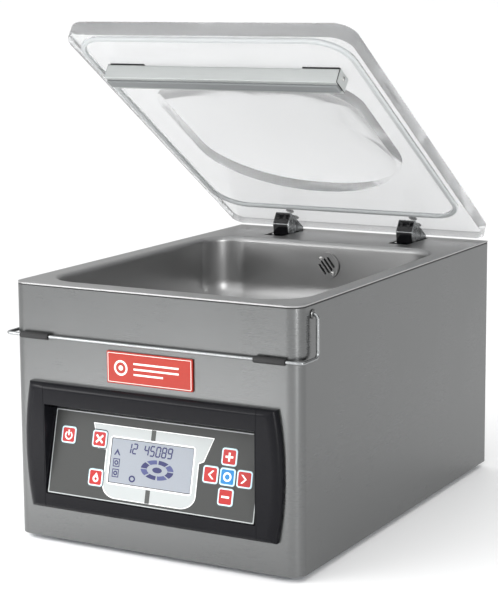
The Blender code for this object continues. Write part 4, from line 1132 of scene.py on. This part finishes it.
def make_motor():
    """A motor housing ribbed along its middle, with a smooth bell at each end."""
    low, high, centre = extent("pump_motor")
    radius, length = (high.z - low.z) / 2, high.x - low.x
    ribs, root, bell, step = 36, radius - 0.004, 0.016, 0.0001
    ribbed = []
    for a in [FULL * i / ribs for i in range(ribs)]:
        for shift, r in ((-0.3, root), (-0.18, radius), (0.18, radius), (0.3, root)):
            angle = a + shift * FULL / ribs
            ribbed.append((r * cos(angle), r * sin(angle)))

    def smooth(r):
        return [(r * cos(atan2(y, x)), r * sin(atan2(y, x)))
                for x, y in ribbed]

    half = [(smooth(radius - 0.012), 0), (smooth(radius - 0.003), 0.003),
            (smooth(radius - 0.001), 0.006), (smooth(radius), bell), (ribbed, bell + step)]
    body = stack(half + [(loop, length - z) for loop, z in half[::-1]])
    place = move((low.x, centre.y, centre.z)) @ turn(y=QUARTER)
    piece("motor_body", moved(body, place), "cast_housing", replaces="pump_motor", sharp=30)
    make_fan()


def make_fan():
    """A hub with six twisted blades."""
    low, high, centre = extent("motor_fan")
    width = high.x - low.x
    hub = turned([(0, width), (0.0105, width), (0.012, width - 0.0015), (0.012, 0.0015),
                  (0.0105, 0), (0, 0)])
    root, tip, thin, steps, blades = 0.011, 0.0495, 0.0008, 6, []
    for i in range(6):
        rings = []
        for step in range(steps + 1):
            r = root + (tip - root) * step / steps
            lean, chord = radians(38 - 3 * step), 0.0075 + 0.0006 * step
            along = Vector((0, cos(lean), sin(lean)))
            across = Vector((0, -sin(lean), cos(lean)))
            rings.append([Vector((r, 0, 0)) + Vector((0, 0, width / 2)) + along * chord * a
                          + across * thin * b for a, b in CORNERS])
        blades.append(moved(loft(rings), turn(z=FULL * i / 6)))
    place = move((low.x, centre.y, centre.z)) @ turn(y=QUARTER)
    piece("fan_rotor", moved(carved(hub, blades, "UNION"), place), "black_plastic", "fan",
          "motor_fan", edge=0.0003, segments=2)


def make_valve():
    """The valve with its coil, and the hose from the chamber's port bent down to it."""
    refined("solenoid_valve", "aluminium", edge=0.0006)
    low, _, centre = extent("solenoid_valve")
    coil = turned([(0, 0.03), (0.0115, 0.03), (0.013, 0.0285), (0.013, 0.002),
                   (0.0115, 0), (0, 0)], move((centre.x, centre.y, low.z - 0.0302)))
    piece("valve_coil", coil, "black_plastic")
    start, foot, radius = middle_of("suction_grille"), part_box("vacuum_hose")[0], 0.0085
    path = rounded_path([(start.x, foot.y, start.z), (start.x, centre.y, start.z),
                         (start.x, centre.y, foot.z)], 0.016, 24)
    piece("hose_bent", tube(path, radius, 10), "black_rubber", replaces="vacuum_hose", sharp=50)
    clip = turned([(radius + 0.0001, 0), (radius + 0.001, 0), (radius + 0.001, 0.006),
                   (radius + 0.0001, 0.006)], closed=True)
    piece("hose_clip_lower", moved(clip, move((start.x, centre.y, foot.z + 0.003))),
          "screw_steel")


def make_transformer():
    """A stack of laminations round a wound bobbin."""
    low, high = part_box("seal_transformer")
    core_front, core_rear, sheets = -0.15, -0.085, 26
    step = (core_rear - core_front) / sheets
    laminations = []
    for i in range(sheets):
        inset, y = 0.0004 * (i % 2), core_front + step * i
        laminations.append(block((low.x + inset, y, low.z + inset),
                                 (high.x - inset, y + step * 0.99, high.z - inset)))
    piece("transformer_core", together(laminations), "zinc_steel", replaces="seal_transformer")
    for end, y0, y1 in (("front", low.y, core_front - GAP), ("rear", core_rear + GAP, high.y)):
        winding = block((low.x + 0.012, y0, low.z + 0.012), (high.x - 0.012, y1, high.z - 0.012))
        piece(f"transformer_winding_{end}", winding, "copper", edge=0.0045, segments=5)


# ---- stage
def make_stage():
    floor = placed(stack([(circle((0, 0), FLOOR_RADIUS, 96), 0), (circle((0, 0), 0.01, 96), 0)],
                         cap_first=False), "floor")
    look = bpy.data.materials.new("pale_floor")
    look.use_nodes = True
    shader = look.node_tree.nodes["Principled BSDF"]
    shader.inputs["Roughness"].default_value = 0.6
    shader.inputs["Base Color"].default_value = (0.95, 0.95, 0.95, 1)
    floor.data.materials.append(look)

    world = bpy.data.worlds.new("studio")
    world.use_nodes = True
    tree = world.node_tree
    place = shader_node(tree, "ShaderNodeTexCoord", {}).outputs["Generated"]
    towards = shader_node(tree, "ShaderNodeVectorMath", {
        0: place, 1: Vector((-0.4, -0.4, 0.82)).normalized()}, operation="DOT_PRODUCT")
    strength = shader_node(tree, "ShaderNodeMapRange", {
        "Value": towards.outputs["Value"], "From Min": -0.5, "From Max": 1.0,
        "To Min": 0.26, "To Max": 1.36}, interpolation_type="SMOOTHSTEP")
    background = tree.nodes["Background"]
    tree.links.new(strength.outputs["Result"], background.inputs["Strength"])
    background.inputs["Color"].default_value = (0.995, 0.998, 1.0, 1)
    bpy.context.scene.world = world
    bpy.context.scene.view_settings.view_transform = "Standard"


def aimed(lamp, direction):
    lamp.rotation_euler = Vector(direction).to_track_quat("-Z", "Y").to_euler()


def soft_light(name, place, target, size, power):
    data = bpy.data.lights.new(name, "AREA")
    data.shape = "RECTANGLE"
    data.size, data.size_y = size
    data.energy = power
    lamp = placed(data, name)
    lamp.location = place
    aimed(lamp, Vector(target) - Vector(place))


def make_lights():
    sun = bpy.data.lights.new("skylight", "SUN")
    sun.energy = 0.25
    sun.angle = radians(35)
    aimed(placed(sun, "skylight"), (-0.36, 0.54, -0.75))
    soft_light("key", (-2.4, -2.4, 1.5), (0, 0, 0.2), (1.6, 2.0), 10)
    soft_light("floor_fill", (-0.35, -0.75, 0.35), (-0.34, -0.74, 0), (0.6, 0.4), 5.5)
    soft_light("chamber_fill", (-0.5, -1.5, 1.6), (0, 0, 0.2), (1.2, 0.6), 1.5)
    soft_light("corner_strip", (1.55, -1.05, 0.65), (HALF_WIDTH, FRONT, 0.15), (0.13, 1.2), 12)


def make_camera():
    data = bpy.data.cameras.new("camera")
    data.lens = 106.4
    data.shift_y = -0.08
    data.clip_end = 2 * FLOOR_RADIUS
    camera = placed(data, "camera")
    camera.matrix_world = CAMERA_PLACE @ turn(z=0.504) @ turn(x=QUARTER - 0.15) @ turn(z=-0.007)
    bpy.context.scene.camera = camera


make_camera()
make_finishes()
make_casing()
make_rear()
make_deck_gap_shade()
make_deck()
make_chamber_fittings()
make_lid_panel()
make_gasket()
make_silicone_bar()
make_hinges()
make_bail()
make_bezel()
for side, sign in LEFT_RIGHT:
    make_bezel_end(side, sign)
make_keypad()
make_badge()
make_machinery()
make_stage()
make_lights()
